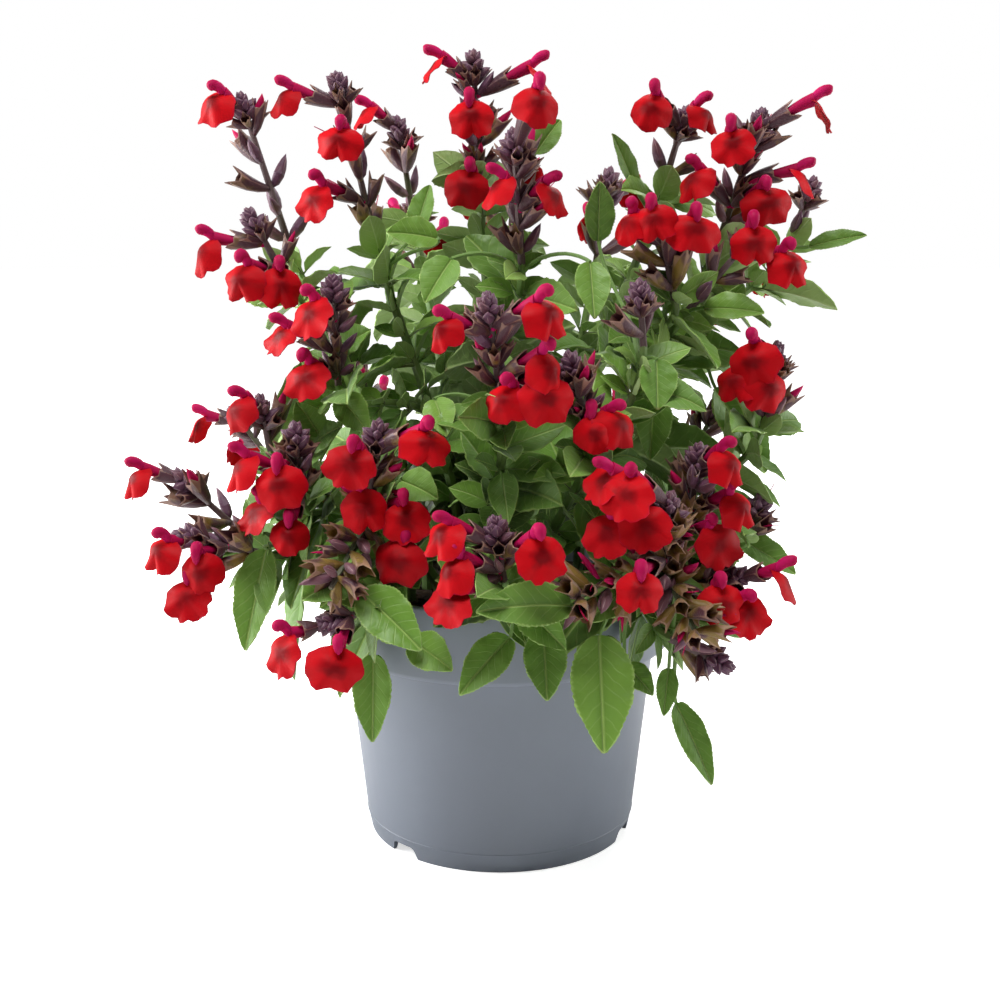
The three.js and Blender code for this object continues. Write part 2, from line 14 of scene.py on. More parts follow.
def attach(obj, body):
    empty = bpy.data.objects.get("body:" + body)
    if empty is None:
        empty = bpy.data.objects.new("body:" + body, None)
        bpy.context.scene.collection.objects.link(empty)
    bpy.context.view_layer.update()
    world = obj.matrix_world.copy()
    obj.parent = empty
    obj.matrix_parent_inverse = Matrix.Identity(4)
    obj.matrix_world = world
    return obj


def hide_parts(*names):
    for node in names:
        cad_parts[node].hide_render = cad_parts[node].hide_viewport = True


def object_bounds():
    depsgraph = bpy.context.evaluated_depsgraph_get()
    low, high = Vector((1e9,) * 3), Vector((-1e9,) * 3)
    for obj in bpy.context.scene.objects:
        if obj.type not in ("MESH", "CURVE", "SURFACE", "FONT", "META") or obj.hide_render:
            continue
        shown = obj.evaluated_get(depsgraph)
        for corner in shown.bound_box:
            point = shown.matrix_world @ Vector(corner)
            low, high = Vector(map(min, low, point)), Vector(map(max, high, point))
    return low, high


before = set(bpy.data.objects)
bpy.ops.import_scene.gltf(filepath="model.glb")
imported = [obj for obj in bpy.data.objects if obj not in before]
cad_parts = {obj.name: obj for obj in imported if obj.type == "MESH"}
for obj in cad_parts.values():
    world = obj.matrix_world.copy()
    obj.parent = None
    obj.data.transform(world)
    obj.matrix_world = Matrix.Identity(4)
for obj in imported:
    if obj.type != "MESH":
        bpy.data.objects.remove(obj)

cad_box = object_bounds()
MM = 0.001

# Camera, floor and light. The photographer looked a little down on the pot from about half a metre, in a
# white studio: a soft light above the front, one at the left, a weaker one at the right and one behind.

CAMERA_PLACE = (0, -477, 213)
CAMERA_PITCH = 11.3
CAMERA_LENS = 50
LIGHT_AIM = (0, 0, 130)
BACKDROP_LIGHT = 1.0
ROOM_LIGHT = 0.1
FLOOR_WIDTH = 12000
FLOOR_WHITE = (248, 248, 248)
FLOOR_GLOW_REACH = (100, 1000)
FLOOR_GLOW = (0.66, 0.97)

# The softboxes: name, place, width and watts
SOFTBOXES = [
    ("softbox_left", (-950, 160, 380), 600, 16.0),
    ("softbox_top", (-150, -320, 1150), 600, 13.0),
    ("softbox_right", (950, 160, 380), 600, 6.5),
    ("softbox_back", (200, 900, 700), 700, 5.0),
]


def srgb(red, green, blue):
    """A colour given as on a screen, 0 to 255, as the linear colour that shaders use."""
    return (*(((c / 255 + 0.055) / 1.055) ** 2.4 if c > 10 else c / 3294.6 for c in (red, green, blue)), 1)


def node(tree, kind, inputs=None, **settings):
    """A shader node with its settings, and its inputs given as values or as other nodes' outputs."""
    made = tree.nodes.new(kind)
    for key, value in settings.items():
        setattr(made, key, value)
    for key, value in (inputs or {}).items():
        if isinstance(value, bpy.types.NodeSocket):
            tree.links.new(value, made.inputs[key])
        else:
            made.inputs[key].default_value = value
    return made


def new_material(name, **finish):
    """A Principled material with plain values on its own sockets. Returns it, its tree and its shader."""
    made = bpy.data.materials.new(name)
    made.use_nodes = True
    shader = made.node_tree.nodes["Principled BSDF"]
    for socket, value in finish.items():
        shader.inputs[socket.replace("_", " ")].default_value = value
    return made, made.node_tree, shader


def plug(tree, shader, **outputs):
    """Links colours, values and normals to a shader's sockets."""
    for socket, output in outputs.items():
        tree.links.new(output, shader.inputs[socket.replace("_", " ")])


def placed(name, data):
    """A new object in the scene."""
    made = bpy.data.objects.new(name, data)
    bpy.context.scene.collection.objects.link(made)
    return made


def start_piece(piece=None):
    """Leaves nothing selected but the piece that the next operators act on, if one is given."""
    bpy.ops.object.select_all(action="DESELECT")
    if piece:
        piece.select_set(True)
        bpy.context.view_layer.objects.active = piece


camera_data = bpy.data.cameras.new("camera")
camera_data.lens = CAMERA_LENS
camera_data.clip_start = 0.01
camera = placed("camera", camera_data)
camera.location = Vector(CAMERA_PLACE) * MM
camera.rotation_euler = (math.radians(90 - CAMERA_PITCH), 0, 0)
bpy.context.scene.camera = camera
bpy.context.scene.view_settings.view_transform = "Standard"

for lamp_name, place, width, power in SOFTBOXES:
    lamp_data = bpy.data.lights.new(lamp_name, "AREA")
    lamp_data.size = width * MM
    lamp_data.energy = power
    lamp = placed(lamp_name, lamp_data)
    lamp.location = Vector(place) * MM
    lamp.rotation_euler = (Vector(LIGHT_AIM) - Vector(place)).to_track_quat("-Z", "Y").to_euler()

room = bpy.data.worlds.new("room")
room.use_nodes = True
room_tree = room.node_tree
ray = node(room_tree, "ShaderNodeLightPath")
strength = node(room_tree, "ShaderNodeMix", {
    "Factor": ray.outputs["Is Camera Ray"], "A": ROOM_LIGHT, "B": BACKDROP_LIGHT,
})
room_tree.nodes["Background"].inputs["Color"].default_value = (1, 1, 1, 1)
plug(room_tree, room_tree.nodes["Background"], Strength=strength.outputs["Result"])
bpy.context.scene.world = room

start_piece()
bpy.ops.mesh.primitive_plane_add(size=FLOOR_WIDTH * MM)
floor = bpy.context.object
floor.name = "floor"

# To the camera alone, the floor glows more the further it is from the pot, and so runs into the white room
floor_white, floor_tree, floor_shader = new_material(
    "floor_white", Roughness=0.9, Base_Color=srgb(*FLOOR_WHITE), Emission_Color=(1, 1, 1, 1),
)
floor_at = node(floor_tree, "ShaderNodeTexCoord").outputs["Object"]
floor_reach = node(floor_tree, "ShaderNodeVectorMath", {0: floor_at}, operation="LENGTH")
floor_fade = node(floor_tree, "ShaderNodeMapRange", {
    "Value": floor_reach.outputs["Value"],
    "From Min": FLOOR_GLOW_REACH[0] * MM, "From Max": FLOOR_GLOW_REACH[1] * MM,
    "To Min": FLOOR_GLOW[0], "To Max": FLOOR_GLOW[1],
})
floor_glow = node(floor_tree, "ShaderNodeMath", {
    0: node(floor_tree, "ShaderNodeLightPath").outputs["Is Camera Ray"], 1: floor_fade.outputs[0],
}, operation="MULTIPLY")
plug(floor_tree, floor_shader, Emission_Strength=floor_glow.outputs[0])
floor.data.materials.append(floor_white)

# Pot. A 12 cm grower's pot, injection moulded in grey polypropylene: a thin tapering wall, a wider band
# under the rim, and a raised floor with drain holes on a skirt that has three notches.

POT_HEIGHT = 94
RIM_RADIUS = 60.2
BAND_BOTTOM = 69.5
SHOULDER_RADIUS = 54.5
BASE_RADIUS = 46.6
SKIRT_HEIGHT = 6.4
SKIRT_FLARE = 1.3
FLOOR_TOP = 7.2
WALL = 1.5
EDGE_ROUNDING = 0.45
POT_STEPS = 128
POT_SMOOTH_TO = 35
NOTCH_ANGLES = [-134.5, -22.5, 96]
NOTCH_WIDTH = 15.5
NOTCH_HEIGHT = 4.2
NOTCH_TAPER = 3
NOTCH_DEPTH = 12
NOTCH_ROUNDING = 1.4
DRAIN_RADIUS = 3.5
DRAIN_CIRCLE = 30
MOULD_LINE = 0.18


@contextmanager
def editing(piece):
    """Edit mode on one piece, with all of it selected."""
    bpy.context.view_layer.objects.active = piece
    bpy.ops.object.mode_set(mode="EDIT")
    bpy.ops.mesh.select_all(action="SELECT")
    yield
    bpy.ops.object.mode_set(mode="OBJECT")


def spun(name, profile, steps):
    """A closed round body from a profile of (radius, height) points that starts and ends on the axis."""
    mesh = bpy.data.meshes.new(name)
    points = [(radius * MM, 0, height * MM) for radius, height in profile]
    mesh.from_pydata(points, [(k, k + 1) for k in range(len(points) - 1)], [])
    made = placed(name, mesh)
    start_piece(made)
    with editing(made):
        bpy.ops.mesh.spin(steps=steps, angle=math.tau, center=(0, 0, 0), axis=(0, 0, 1))
        bpy.ops.mesh.select_all(action="SELECT")
        bpy.ops.mesh.remove_doubles(threshold=0.02 * MM)
        bpy.ops.mesh.normals_make_consistent(inside=False)
    return made


def cut(piece, cutter):
    """Takes a closed cutter out of a piece and removes it."""
    bpy.context.view_layer.objects.active = piece
    modifier = piece.modifiers.new("cut", "BOOLEAN")
    modifier.object = cutter
    modifier.solver = "EXACT"
    bpy.ops.object.modifier_apply(modifier="cut")
    bpy.data.objects.remove(cutter)


def rounded(corners, radius, steps=3):
    """A profile with each corner but the ends rounded off by a curve."""
    points = [corners[0]]
    for before, here, after in zip(corners, corners[1:], corners[2:]):
        a, b, c = Vector(before), Vector(here), Vector(after)
        reach = min(radius, (a - b).length / 2.2, (c - b).length / 2.2)
        start, end = b + (a - b).normalized() * reach, b + (c - b).normalized() * reach
        for k in range(steps + 1):
            t = k / steps
            points.append(tuple(start * (1 - t) ** 2 + b * 2 * t * (1 - t) + end * t * t))
    return points + [corners[-1]]


wall_inside = BASE_RADIUS - WALL
pot_corners = [
    (0, FLOOR_TOP - WALL), (wall_inside, FLOOR_TOP - WALL), (wall_inside, 0), (BASE_RADIUS, 0),
    (BASE_RADIUS + SKIRT_FLARE, SKIRT_HEIGHT), (BASE_RADIUS + SKIRT_FLARE + MOULD_LINE, SKIRT_HEIGHT + 0.1),
    (BASE_RADIUS + 1.34 + MOULD_LINE, SKIRT_HEIGHT + 0.5), (BASE_RADIUS + 1.36, SKIRT_HEIGHT + 0.6),
    (SHOULDER_RADIUS, BAND_BOTTOM - 0.7), (RIM_RADIUS - 0.8, BAND_BOTTOM),
    (RIM_RADIUS - 0.2, BAND_BOTTOM + 1.2), (RIM_RADIUS, POT_HEIGHT - 0.8), (RIM_RADIUS - 0.4, POT_HEIGHT),
    (RIM_RADIUS - WALL, POT_HEIGHT), (RIM_RADIUS - WALL - 0.2, BAND_BOTTOM + 2),
    (SHOULDER_RADIUS - WALL, BAND_BOTTOM + 1), (wall_inside + 1.4, FLOOR_TOP), (0, FLOOR_TOP),
]
pot = spun("grower_pot", rounded(pot_corners, EDGE_ROUNDING), POT_STEPS)
for angle in NOTCH_ANGLES:
    start_piece()
    bpy.ops.mesh.primitive_cube_add(
        size=MM, location=(BASE_RADIUS * MM, 0, 0), scale=(NOTCH_DEPTH, NOTCH_WIDTH, 2 * NOTCH_HEIGHT),
    )
    notch = bpy.context.object
    for vertex in notch.data.vertices:
        if vertex.co.z > 0:
            vertex.co.y *= 1 - 2 * NOTCH_TAPER / NOTCH_WIDTH
    with editing(notch):
        bpy.ops.mesh.bevel(offset=NOTCH_ROUNDING * MM, segments=3)
    notch.matrix_world = Matrix.Rotation(math.radians(angle), 4, "Z") @ notch.matrix_world
    cut(pot, notch)
for angle in range(45, 360, 90):
    start_piece()
    middle = Vector((DRAIN_CIRCLE, 0, FLOOR_TOP - WALL / 2))
    place = Matrix.Rotation(math.radians(angle), 3, "Z") @ middle * MM
    bpy.ops.mesh.primitive_cylinder_add(vertices=24, radius=DRAIN_RADIUS * MM, depth=4 * MM, location=place)
    cut(pot, bpy.context.object)
start_piece(pot)
bpy.ops.object.shade_smooth_by_angle(angle=math.radians(POT_SMOOTH_TO))


def object_noise(tree, scale, detail, stretch=(1, 1, 1)):
    """A noise in the piece's own space, from 0 to 1."""
    at = node(tree, "ShaderNodeTexCoord").outputs["Object"]
    if stretch != (1, 1, 1):
        at = node(tree, "ShaderNodeMapping", {"Vector": at, "Scale": stretch}).outputs[0]
    return node(tree, "ShaderNodeTexNoise", {"Vector": at, "Scale": scale, "Detail": detail}).outputs["Fac"]


def math_node(tree, operation, *values):
    return node(tree, "ShaderNodeMath", dict(enumerate(values)), operation=operation).outputs[0]


def mixed(tree, share, first, second):
    """A colour between two others."""
    return node(tree, "ShaderNodeMix", {"Factor": share, 6: first, 7: second}, data_type="RGBA").outputs[2]


def bumped(tree, height, strength, depth):
    """A normal that follows a height, which is depth mm deep."""
    return node(tree, "ShaderNodeBump", {
        "Height": height, "Strength": strength, "Distance": depth * MM,
    }).outputs[0]


# The grey is a little cloudy, and flow lines from the mould run up it
pot_grey, pot_tree, pot_shader = new_material("pot_grey", IOR=1.47, Coat_Weight=0.08, Coat_Roughness=0.35)
pot_flow = object_noise(pot_tree, 1.0, 2.0, (260, 260, 6))
pot_pores = object_noise(pot_tree, 2600.0, 1.0)
pot_rough = node(pot_tree, "ShaderNodeMapRange", {"Value": pot_flow, "To Min": 0.4, "To Max": 0.5})
plug(
    pot_tree, pot_shader, Roughness=pot_rough.outputs[0],
    Base_Color=mixed(pot_tree, object_noise(pot_tree, 22.0, 3.0), srgb(108, 114, 126), srgb(116, 123, 134)),
    Normal=bumped(pot_tree, math_node(pot_tree, "ADD", pot_flow, pot_pores), 0.12, 0.1),
)
pot.data.materials.append(pot_grey)
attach(pot, "root")
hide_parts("pot")

# Compost. Peat and fine bark, dark brown and a little damp. It fills the pot to a finger's breadth under
# the rim, slightly crowned, with lumps in it and with crumbs and slivers of bark lying on it.

SOIL_EDGE_LEVEL = 83
SOIL_RISE = 4
SOIL_RINGS = 24
SOIL_STEPS = 72
GAP = 0.3
LUMPS = [(160, 1.1), (520, 0.6)]
LUMP_SINK = 0.6
CRUMBS = 420
CRUMB_SIZE = (1.2, 1.0, 0.8)
SLIVER_SIZE = (2.6, 0.7, 0.5)
SLIVER_SHARE = 0.3


def joined(name, copies):
    """One piece out of several objects."""
    start_piece(copies[0])
    for each in copies:
        each.select_set(True)
    bpy.ops.object.join()
    made = bpy.context.view_layer.objects.active
    made.name = made.data.name = name
    return made


def moved_copy(master, matrix):
    """A copy of a master piece with its own mesh, moved by a matrix that goes into the mesh."""
    mesh = master.data.copy()
    mesh.transform(matrix)
    return placed(master.name, mesh)


def inner(radius):
    """The radius of the soil where the pot's outside has a radius."""
    return radius - WALL - GAP


soil_edge = inner(RIM_RADIUS) - 0.1
soil_profile = [
    (0, FLOOR_TOP + GAP), (inner(BASE_RADIUS) + 1.3, FLOOR_TOP + GAP),
    (inner(SHOULDER_RADIUS), BAND_BOTTOM + 1 + GAP), (inner(RIM_RADIUS) - 0.3, BAND_BOTTOM + 2 + GAP),
    (soil_edge, SOIL_EDGE_LEVEL),
]
soil_profile += [
    (soil_edge * (1 - k / SOIL_RINGS), SOIL_EDGE_LEVEL + SOIL_RISE * k / SOIL_RINGS)
    for k in range(1, SOIL_RINGS + 1)
]
soil_bed = spun("compost", soil_profile, SOIL_STEPS)
for vertex in soil_bed.data.vertices:
    if vertex.co.z > (SOIL_EDGE_LEVEL + 0.1) * MM:
        lump = sum(noise.noise(vertex.co * scale) * height for scale, height in LUMPS)
        vertex.co.z += (lump - LUMP_SINK) * MM
start_piece()
bpy.ops.mesh.primitive_ico_sphere_add(subdivisions=1, radius=MM)
crumb = bpy.context.object
crumb.name = "crumb"
pick = random.Random(5)
crumbs = [soil_bed]
for _ in range(CRUMBS):
    reach = (soil_edge - 3) * math.sqrt(pick.random())
    angle = pick.uniform(0, math.tau)
    level = SOIL_EDGE_LEVEL + SOIL_RISE * (1 - reach / soil_edge)
    place = Vector((reach * math.cos(angle), reach * math.sin(angle), level)) * MM
    size = SLIVER_SIZE if pick.random() < SLIVER_SHARE else CRUMB_SIZE
    turn = Matrix.Rotation(pick.uniform(0, math.tau), 4, "Z")
    turn @= Matrix.Rotation(pick.uniform(-0.5, 0.5), 4, "X")
    scale = Matrix.Diagonal((*(s * pick.uniform(0.6, 1.3) for s in size), 1))
    crumbs.append(moved_copy(crumb, Matrix.Translation(place) @ turn @ scale))
bpy.data.objects.remove(crumb)
soil = joined("compost", crumbs)

compost, soil_tree, soil_shader = new_material("compost", Roughness=0.95)
soil_at = node(soil_tree, "ShaderNodeTexCoord").outputs["Object"]
soil_grit = object_noise(soil_tree, 420.0, 6.0)
soil_patch = node(soil_tree, "ShaderNodeTexVoronoi", {"Vector": soil_at, "Scale": 330.0}).outputs["Distance"]
soil_share = math_node(soil_tree, "MULTIPLY", soil_grit, soil_patch)
plug(
    soil_tree, soil_shader, Base_Color=mixed(soil_tree, soil_share, srgb(34, 24, 18), srgb(98, 70, 50)),
    Normal=bumped(soil_tree, soil_grit, 0.9, 1.0),
)
soil.data.materials.append(compost)
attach(soil, "root")
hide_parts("soil")

# Stems and leaves. Square green stems stand in the compost and bow to their flower sprays, with side
# branches. Toothed leaves stand on them in opposite pairs, each pair crosswise to the last, with tufts of
# young leaves in their axils.

STEM_RADIUS = 1.8
TWIG_RADIUS = 1.2
STEM_FOOT = 88
HOLE_FLOOR = 63.3
STEM_STEPS = 5
BRANCH_STEPS = 3
LEAF_SPACING = 30
FIRST_LEAF = 16
FIRST_BRANCH_LEAF = 11
TUFT_SPACING = 10
LEAF_LENGTH = 39
LEAF_SLIMNESS = 0.5
PETIOLE_RADIUS = 0.8
LIGHT_SLOPE = 0.7
FRONT_SPREAD = 0.3
FRONT_LEAN = 40
ROOT_DEPTH = 0.8
LARGE_LEAF_SAG = 0.12
LARGE_LEAF_TINTS = (0.36, 0.66)
STEM_TUFT_LEAVES = (12, 24)
TWIG_TUFT_LEAVES = (11, 20)
PLANT_SMOOTH_TO = 50
UP = Vector((0, 0, 1))
RIGHT = Vector((1, 0, 0))

# Where each stem stands in the soil
HOLES = [
    (-26, 4), (-13, -3), (-14, 17), (-31, -11), (-40, -1), (-20, -27), (0, 6), (-4, -17), (2, -32), (13, -20),
    (18, 8), (27, -4), (38, -11), (25, -28), (35, -24), (-27, 25), (-3, 30), (20, 25), (36, 12),
]

# The flower sprays. Each has the stem that carries it, the share of that stem's length where its branch
# forks off (0 for the stem's own top), its foot, its tip and its open flowers. A flower is the middle of its
# lower lip and its turn in degrees from facing -Y, the front, positive towards +X.
SPRAYS = [
    (0, 0, (-72, 8, 204), (-87, 2, 256), [(-94, -2, 249, -42)]),
    (1, 0, (-42, 0, 206), (-54, -6, 262),
     [(-71, -6, 250, -55), (-51, -18, 237, -10), (-60, -14, 219, -35)]),
    (2, 0, (-32, 36, 219), (-37, 36, 251), [(-49, 31, 247, -70)]),
    (0, 0.55, (-70, -22, 196), (-81, -26, 218),
     [(-95, -24, 202, -50), (-81, -36, 194, -25), (-69, -36, 193, 15)]),
    (1, 0.45, (-52, -32, 162), (-52, -38, 198),
     [(-59, -48, 184, -30), (-70, -39, 175, -50), (-61, -46, 164, -25)]),
    (3, 0, (-74, -34, 141), (-77, -37, 160), [(-83, -43, 153, -45)]),
    (3, 0.5, (-62, -50, 128), (-63, -56, 154),
     [(-80, -61, 137, -50), (-67, -66, 135, 0), (-76, -61, 123, -45), (-64, -65, 118, 0)]),
    (4, 0, (-86, -34, 115), (-106, -36, 135), [(-118, -37, 129, -50)]),
    (4, 0.5, (-76, -48, 110), (-103, -54, 118),
     [(-105, -59, 110, -40), (-93, -63, 107, 0), (-97, -63, 98, -10)]),
    (5, 0, (-40, -58, 125), (-36, -64, 156),
     [(-43, -75, 142, -15), (-41, -73, 129, 15), (-21, -75, 147, 25), (-29, -69, 124, 5),
      (-29, -72, 113, -15)]),
    (5, 0.4, (-44, -73, 97), (-56, -77, 94), [(-65, -82, 87, -40), (-47, -89, 85, 5)]),
    (6, 0, (-7, 6, 227), (-9, 4, 270),
     [(-23, 3, 261, -75), (14, 3, 258, 75), (-10, -10, 246, 0), (-10, -9, 224, -10)]),
    (6, 0.45, (7, -22, 200), (4, -28, 243), [(12, -43, 247, 10), (17, -34, 219, 50), (-2, -32, 221, -60)]),
    (7, 0, (0, -62, 162), (-4, -70, 194),
     [(-17, -78, 180, -40), (13, -79, 185, 40), (14, -77, 170, 30), (13, -77, 163, 10),
      (2, -75, 160, -30)]),
    (8, 0, (1, -82, 110), (-2, -86, 131),
     [(-17, -88, 122, -50), (11, -97, 120, 20), (-14, -92, 113, -50), (-15, -93, 103, -45)]),
    (9, 0, (26, -58, 153), (20, -62, 176), [(27, -73, 151, 0), (35, -69, 152, 40)]),
    (9, 0.5, (44, -50, 176), (42, -52, 197), []),
    (10, 0, (56, 8, 226), (63, 4, 252), [(50, -10, 248, -15), (68, 0, 245, 50)]),
    (10, 0.5, (56, -28, 189), (49, -30, 218),
     [(39, -42, 210, -35), (46, -44, 212, -10), (60, -44, 209, 5)]),
    (11, 0, (74, -6, 210), (86, -10, 250),
     [(73, -23, 236, -10), (105, -11, 246, 85), (62, -17, 224, -50), (85, -22, 218, 10),
      (101, -9, 224, 70)]),
    (11, 0.5, (62, -18, 185), (84, -22, 212), [(79, -36, 206, 0), (91, -33, 198, 25)]),
    (11, 0.6, (100, 12, 206), (108, 10, 229), []),
    (12, 0, (87, -22, 147), (90, -26, 176), [(79, -39, 170, -25), (75, -35, 162, -40), (86, -38, 161, 15)]),
    (12, 0.45, (82, -26, 109), (87, -28, 127), []),
    (13, 0, (59, -52, 118), (61, -60, 148), [(68, -69, 140, 40), (72, -65, 126, 40), (66, -65, 116, 30)]),
    (13, 0.4, (50, -68, 111), (50, -76, 136),
     [(29, -83, 137, -60), (36, -88, 136, -30), (41, -86, 126, 0), (31, -84, 123, -25), (40, -95, 109, 0)]),
    (14, 0, (61, -48, 100), (78, -61, 106), [(66, -75, 100, 10), (75, -73, 95, 35), (88, -66, 103, 75)]),
    (14, 0.3, (53, -62, 86), (73, -66, 77), []),
    (15, 0, (-50, 72, 135), (-58, 86, 162), [(-64, 90, 148, 200), (-48, 98, 140, 170)]),
    (15, 0.5, (-84, 32, 125), (-102, 40, 146), [(-113, 40, 136, 260), (-100, 52, 126, 215)]),
    (16, 0, (-30, 60, 190), (-34, 70, 224), [(-42, 79, 212, 205), (-22, 82, 204, 170)]),
    (16, 0.4, (4, 50, 206), (6, 58, 242), [(10, 72, 230, 170), (-6, 68, 218, 215)]),
    (16, 0.3, (0, 76, 142), (-2, 86, 170), [(8, 97, 156, 165), (-13, 96, 148, 200)]),
    (17, 0, (36, 54, 198), (42, 62, 234), [(52, 72, 222, 145), (34, 76, 210, 190)]),
    (17, 0.35, (48, 68, 132), (58, 80, 160), [(66, 88, 148, 145), (48, 94, 138, 180)]),
    (18, 0, (72, 38, 172), (86, 44, 204), [(98, 52, 190, 120), (82, 60, 180, 165)]),
    (18, 0.45, (70, 36, 124), (84, 46, 148), [(94, 58, 138, 130)]),
]

# Large leaves that stand clear of the rest: the stem, the foot of the blade, its tip and its width
LARGE_LEAVES = [
    (4, (-74, -50, 112), (-80, -60, 81), 14),
    (5, (-39, -68, 83), (-39, -76, 57), 12),
    (13, (21, -84, 103), (-7, -98, 105), 14),
    (8, (13, -76, 93), (14, -86, 74), 13),
    (8, (3, -80, 92), (-12, -92, 78), 12),
    (13, (30, -74, 91), (31, -88, 58), 19),
    (13, (39, -66, 79), (47, -72, 71), 8),
    (14, (56, -56, 63), (67, -66, 39), 10),
    (13, (53, -60, 76), (51, -66, 62), 7),
    (11, (73, -8, 158), (91, -12, 129), 20),
    (12, (80, -22, 109), (99, -28, 98), 11),
    (11, (104, -2, 205), (122, -8, 209), 7),
    (10, (46, 4, 224), (37, -4, 242), 8),
    (6, (12, 14, 236), (21, 18, 248), 9),
    (9, (32, -18, 207), (32, -22, 226), 10),
    (6, (28, -40, 201), (29, -50, 184), 11),
    (6, (-15, -40, 202), (-23, -50, 189), 12),
    (9, (48, -52, 172), (48, -58, 157), 12),
    (1, (-20, -22, 208), (-36, -30, 210), 12),
    (11, (66, -24, 186), (84, -34, 185), 11),
    (5, (-42, -73, 104), (-23, -84, 89), 15),
    (5, (-45, -66, 108), (-59, -78, 103), 15),
    (5, (-27, -74, 89), (-14, -84, 83), 12),
    (7, (-20, -54, 160), (-16, -64, 150), 10),
    (13, (60, -40, 114), (73, -48, 109), 15),
    (9, (50, -32, 159), (48, -38, 138), 12),
    (1, (-29, 8, 210), (-24, 12, 226), 9),
    (0, (-53, -20, 172), (-42, -26, 179), 11),
    (9, (19, -50, 137), (30, -58, 148), 12),
    (5, (-31, -50, 134), (-19, -60, 130), 12),
]

# Young leaves that close the gaps between the shoots, given in the same way
YOUNG_LEAVES = [
    (3, (-58, -36, 146), (-64, -44, 158), 10),
    (3, (-62, -34, 142), (-50, -42, 150), 11),
    (3, (-66, -30, 136), (-56, -40, 141), 11),
    (1, (-52, -30, 158), (-42, -38, 147), 11),
    (1, (-56, -28, 156), (-66, -34, 150), 10),
    (13, (38, -70, 104), (26, -78, 96), 10),
]

# Ways in which a leaf may be bent clear: turn about the stem, tilt away from it, and share of its length
BENDS = [
    (0, 0, 1), (25, 0, 1), (-25, 0, 1), (0, -20, 1), (0, 18, 1), (50, 0, 0.9), (-50, 0, 0.9),
    (20, -20, 0.8), (-20, 18, 0.8), (0, 0, 0.65), (35, -10, 0.65), (-35, -10, 0.65),
]


def draws(seed):
    """The seeded row of numbers from 0 to 1 that the solids' leaves follow."""
    state = (seed * 7919 + 12345) % 2147483647

    def following():
        nonlocal state
        state = state * 16807 % 2147483647
        return state / 2147483647

    following()
    following()
    return following


def route(start, start_heading, end, end_heading, steps, side):
    """Stations on a curve: each has its place, its heading and one side, carried along without twist."""
    reach = (end - start).length
    near, far = start + start_heading * reach * 0.4, end - end_heading * reach * 0.3
    stations, across = [], side
    for k in range(steps + 1):
        t = k / steps
        u = 1 - t
        place = start * u ** 3 + near * 3 * u * u * t + far * 3 * u * t * t + end * t ** 3
        heading = ((near - start) * u * u + (far - near) * 2 * u * t + (end - far) * t * t).normalized()
        across = (across - heading * across.dot(heading)).normalized()
        stations.append((place, heading, across))
    return stations


def station_at(stations, share):
    """The station at a share of a route's steps."""
    at = share * (len(stations) - 1)
    k = min(int(at), len(stations) - 2)
    place, heading, across = (low.lerp(high, at - k) for low, high in zip(stations[k], stations[k + 1]))
    return place, heading.normalized(), across.normalized()


def length_of(stations):
    return sum((b[0] - a[0]).length for a, b in zip(stations, stations[1:]))


def turned(vector, axis, degrees):
    return Matrix.Rotation(math.radians(degrees), 3, axis) @ vector


def leaning(heading, out, degrees):
    """A way that leans out from a heading by an angle."""
    lean = math.radians(degrees)
    return heading * math.cos(lean) + out * math.sin(lean)


def headed(start, end):
    return (end - start).normalized()


def bent_copy(master, stations, widths, tint):
    """A copy of a master piece along stations: its X runs from the first to the last, its Y and Z across.

    widths are the half widths at the two ends, and tint is kept on the copy for its colour.
    """
    mesh = master.data.copy()
    count = len(mesh.vertices)
    local = np.empty(count * 3)
    mesh.vertices.foreach_get("co", local)
    local = local.reshape(-1, 3)
    share = np.clip(local[:, 0], 0, 1)
    at = share * (len(stations) - 1)
    low = np.minimum(at.astype(int), len(stations) - 2)
    part = (at - low)[:, None]
    place, heading, across = (
        column[low] * (1 - part) + column[low + 1] * part
        for column in (np.array([list(station[k]) for station in stations]) for k in range(3))
    )
    width = (widths[0] + (widths[1] - widths[0]) * share)[:, None]
    past = ((local[:, 0] - share) * length_of(stations))[:, None]
    points = across * local[:, 1:2] + np.cross(heading, across) * local[:, 2:3]
    points = place + heading * past + width * points
    mesh.vertices.foreach_set("co", (points * MM).ravel())
    mesh.attributes["tint"].data.foreach_set("value", np.full(count, tint))
    return placed(master.name, mesh)


# The pieces that the copies are made from, which are taken away at the end
masters = []


def give(made, key, values):
    """Keeps a value for each vertex, which a colour follows."""
    made.data.attributes.new(key, "FLOAT", "POINT").data.foreach_set("value", values)


def shaped(made, shape, **shares):
    """Moves each vertex to where shape puts it, and keeps the shares as attributes for its colours."""
    starts = [tuple(vertex.co) for vertex in made.data.vertices]
    for key, share in shares.items():
        give(made, key, [share(*place) for place in starts])
    for vertex, place in zip(made.data.vertices, starts):
        vertex.co = shape(*place)
    return made


def finish_master(made, name, thickness, materials):
    """Gives a shaped master its thickness, its materials and the attributes that its colours follow."""
    start_piece(made)
    made.name = name
    for each in materials:
        made.data.materials.append(each)
    places = np.empty(len(made.data.vertices) * 3)
    made.data.vertices.foreach_get("co", places)
    for key, values in (("along", places[0::3]), ("across", places[1::3]), ("tint", places[0::3] * 0)):
        if key not in made.data.attributes:
            give(made, key, values)
    if thickness:
        modifier = made.modifiers.new("thickness", "SOLIDIFY")
        modifier.thickness = thickness
        modifier.offset = -1
        modifier.material_offset = len(materials) - 1
        modifier.material_offset_rim = 0
        bpy.ops.object.modifier_apply(modifier="thickness")
    bpy.ops.object.shade_smooth_by_angle(angle=math.radians(PLANT_SMOOTH_TO))
    masters.append(made)
    return made


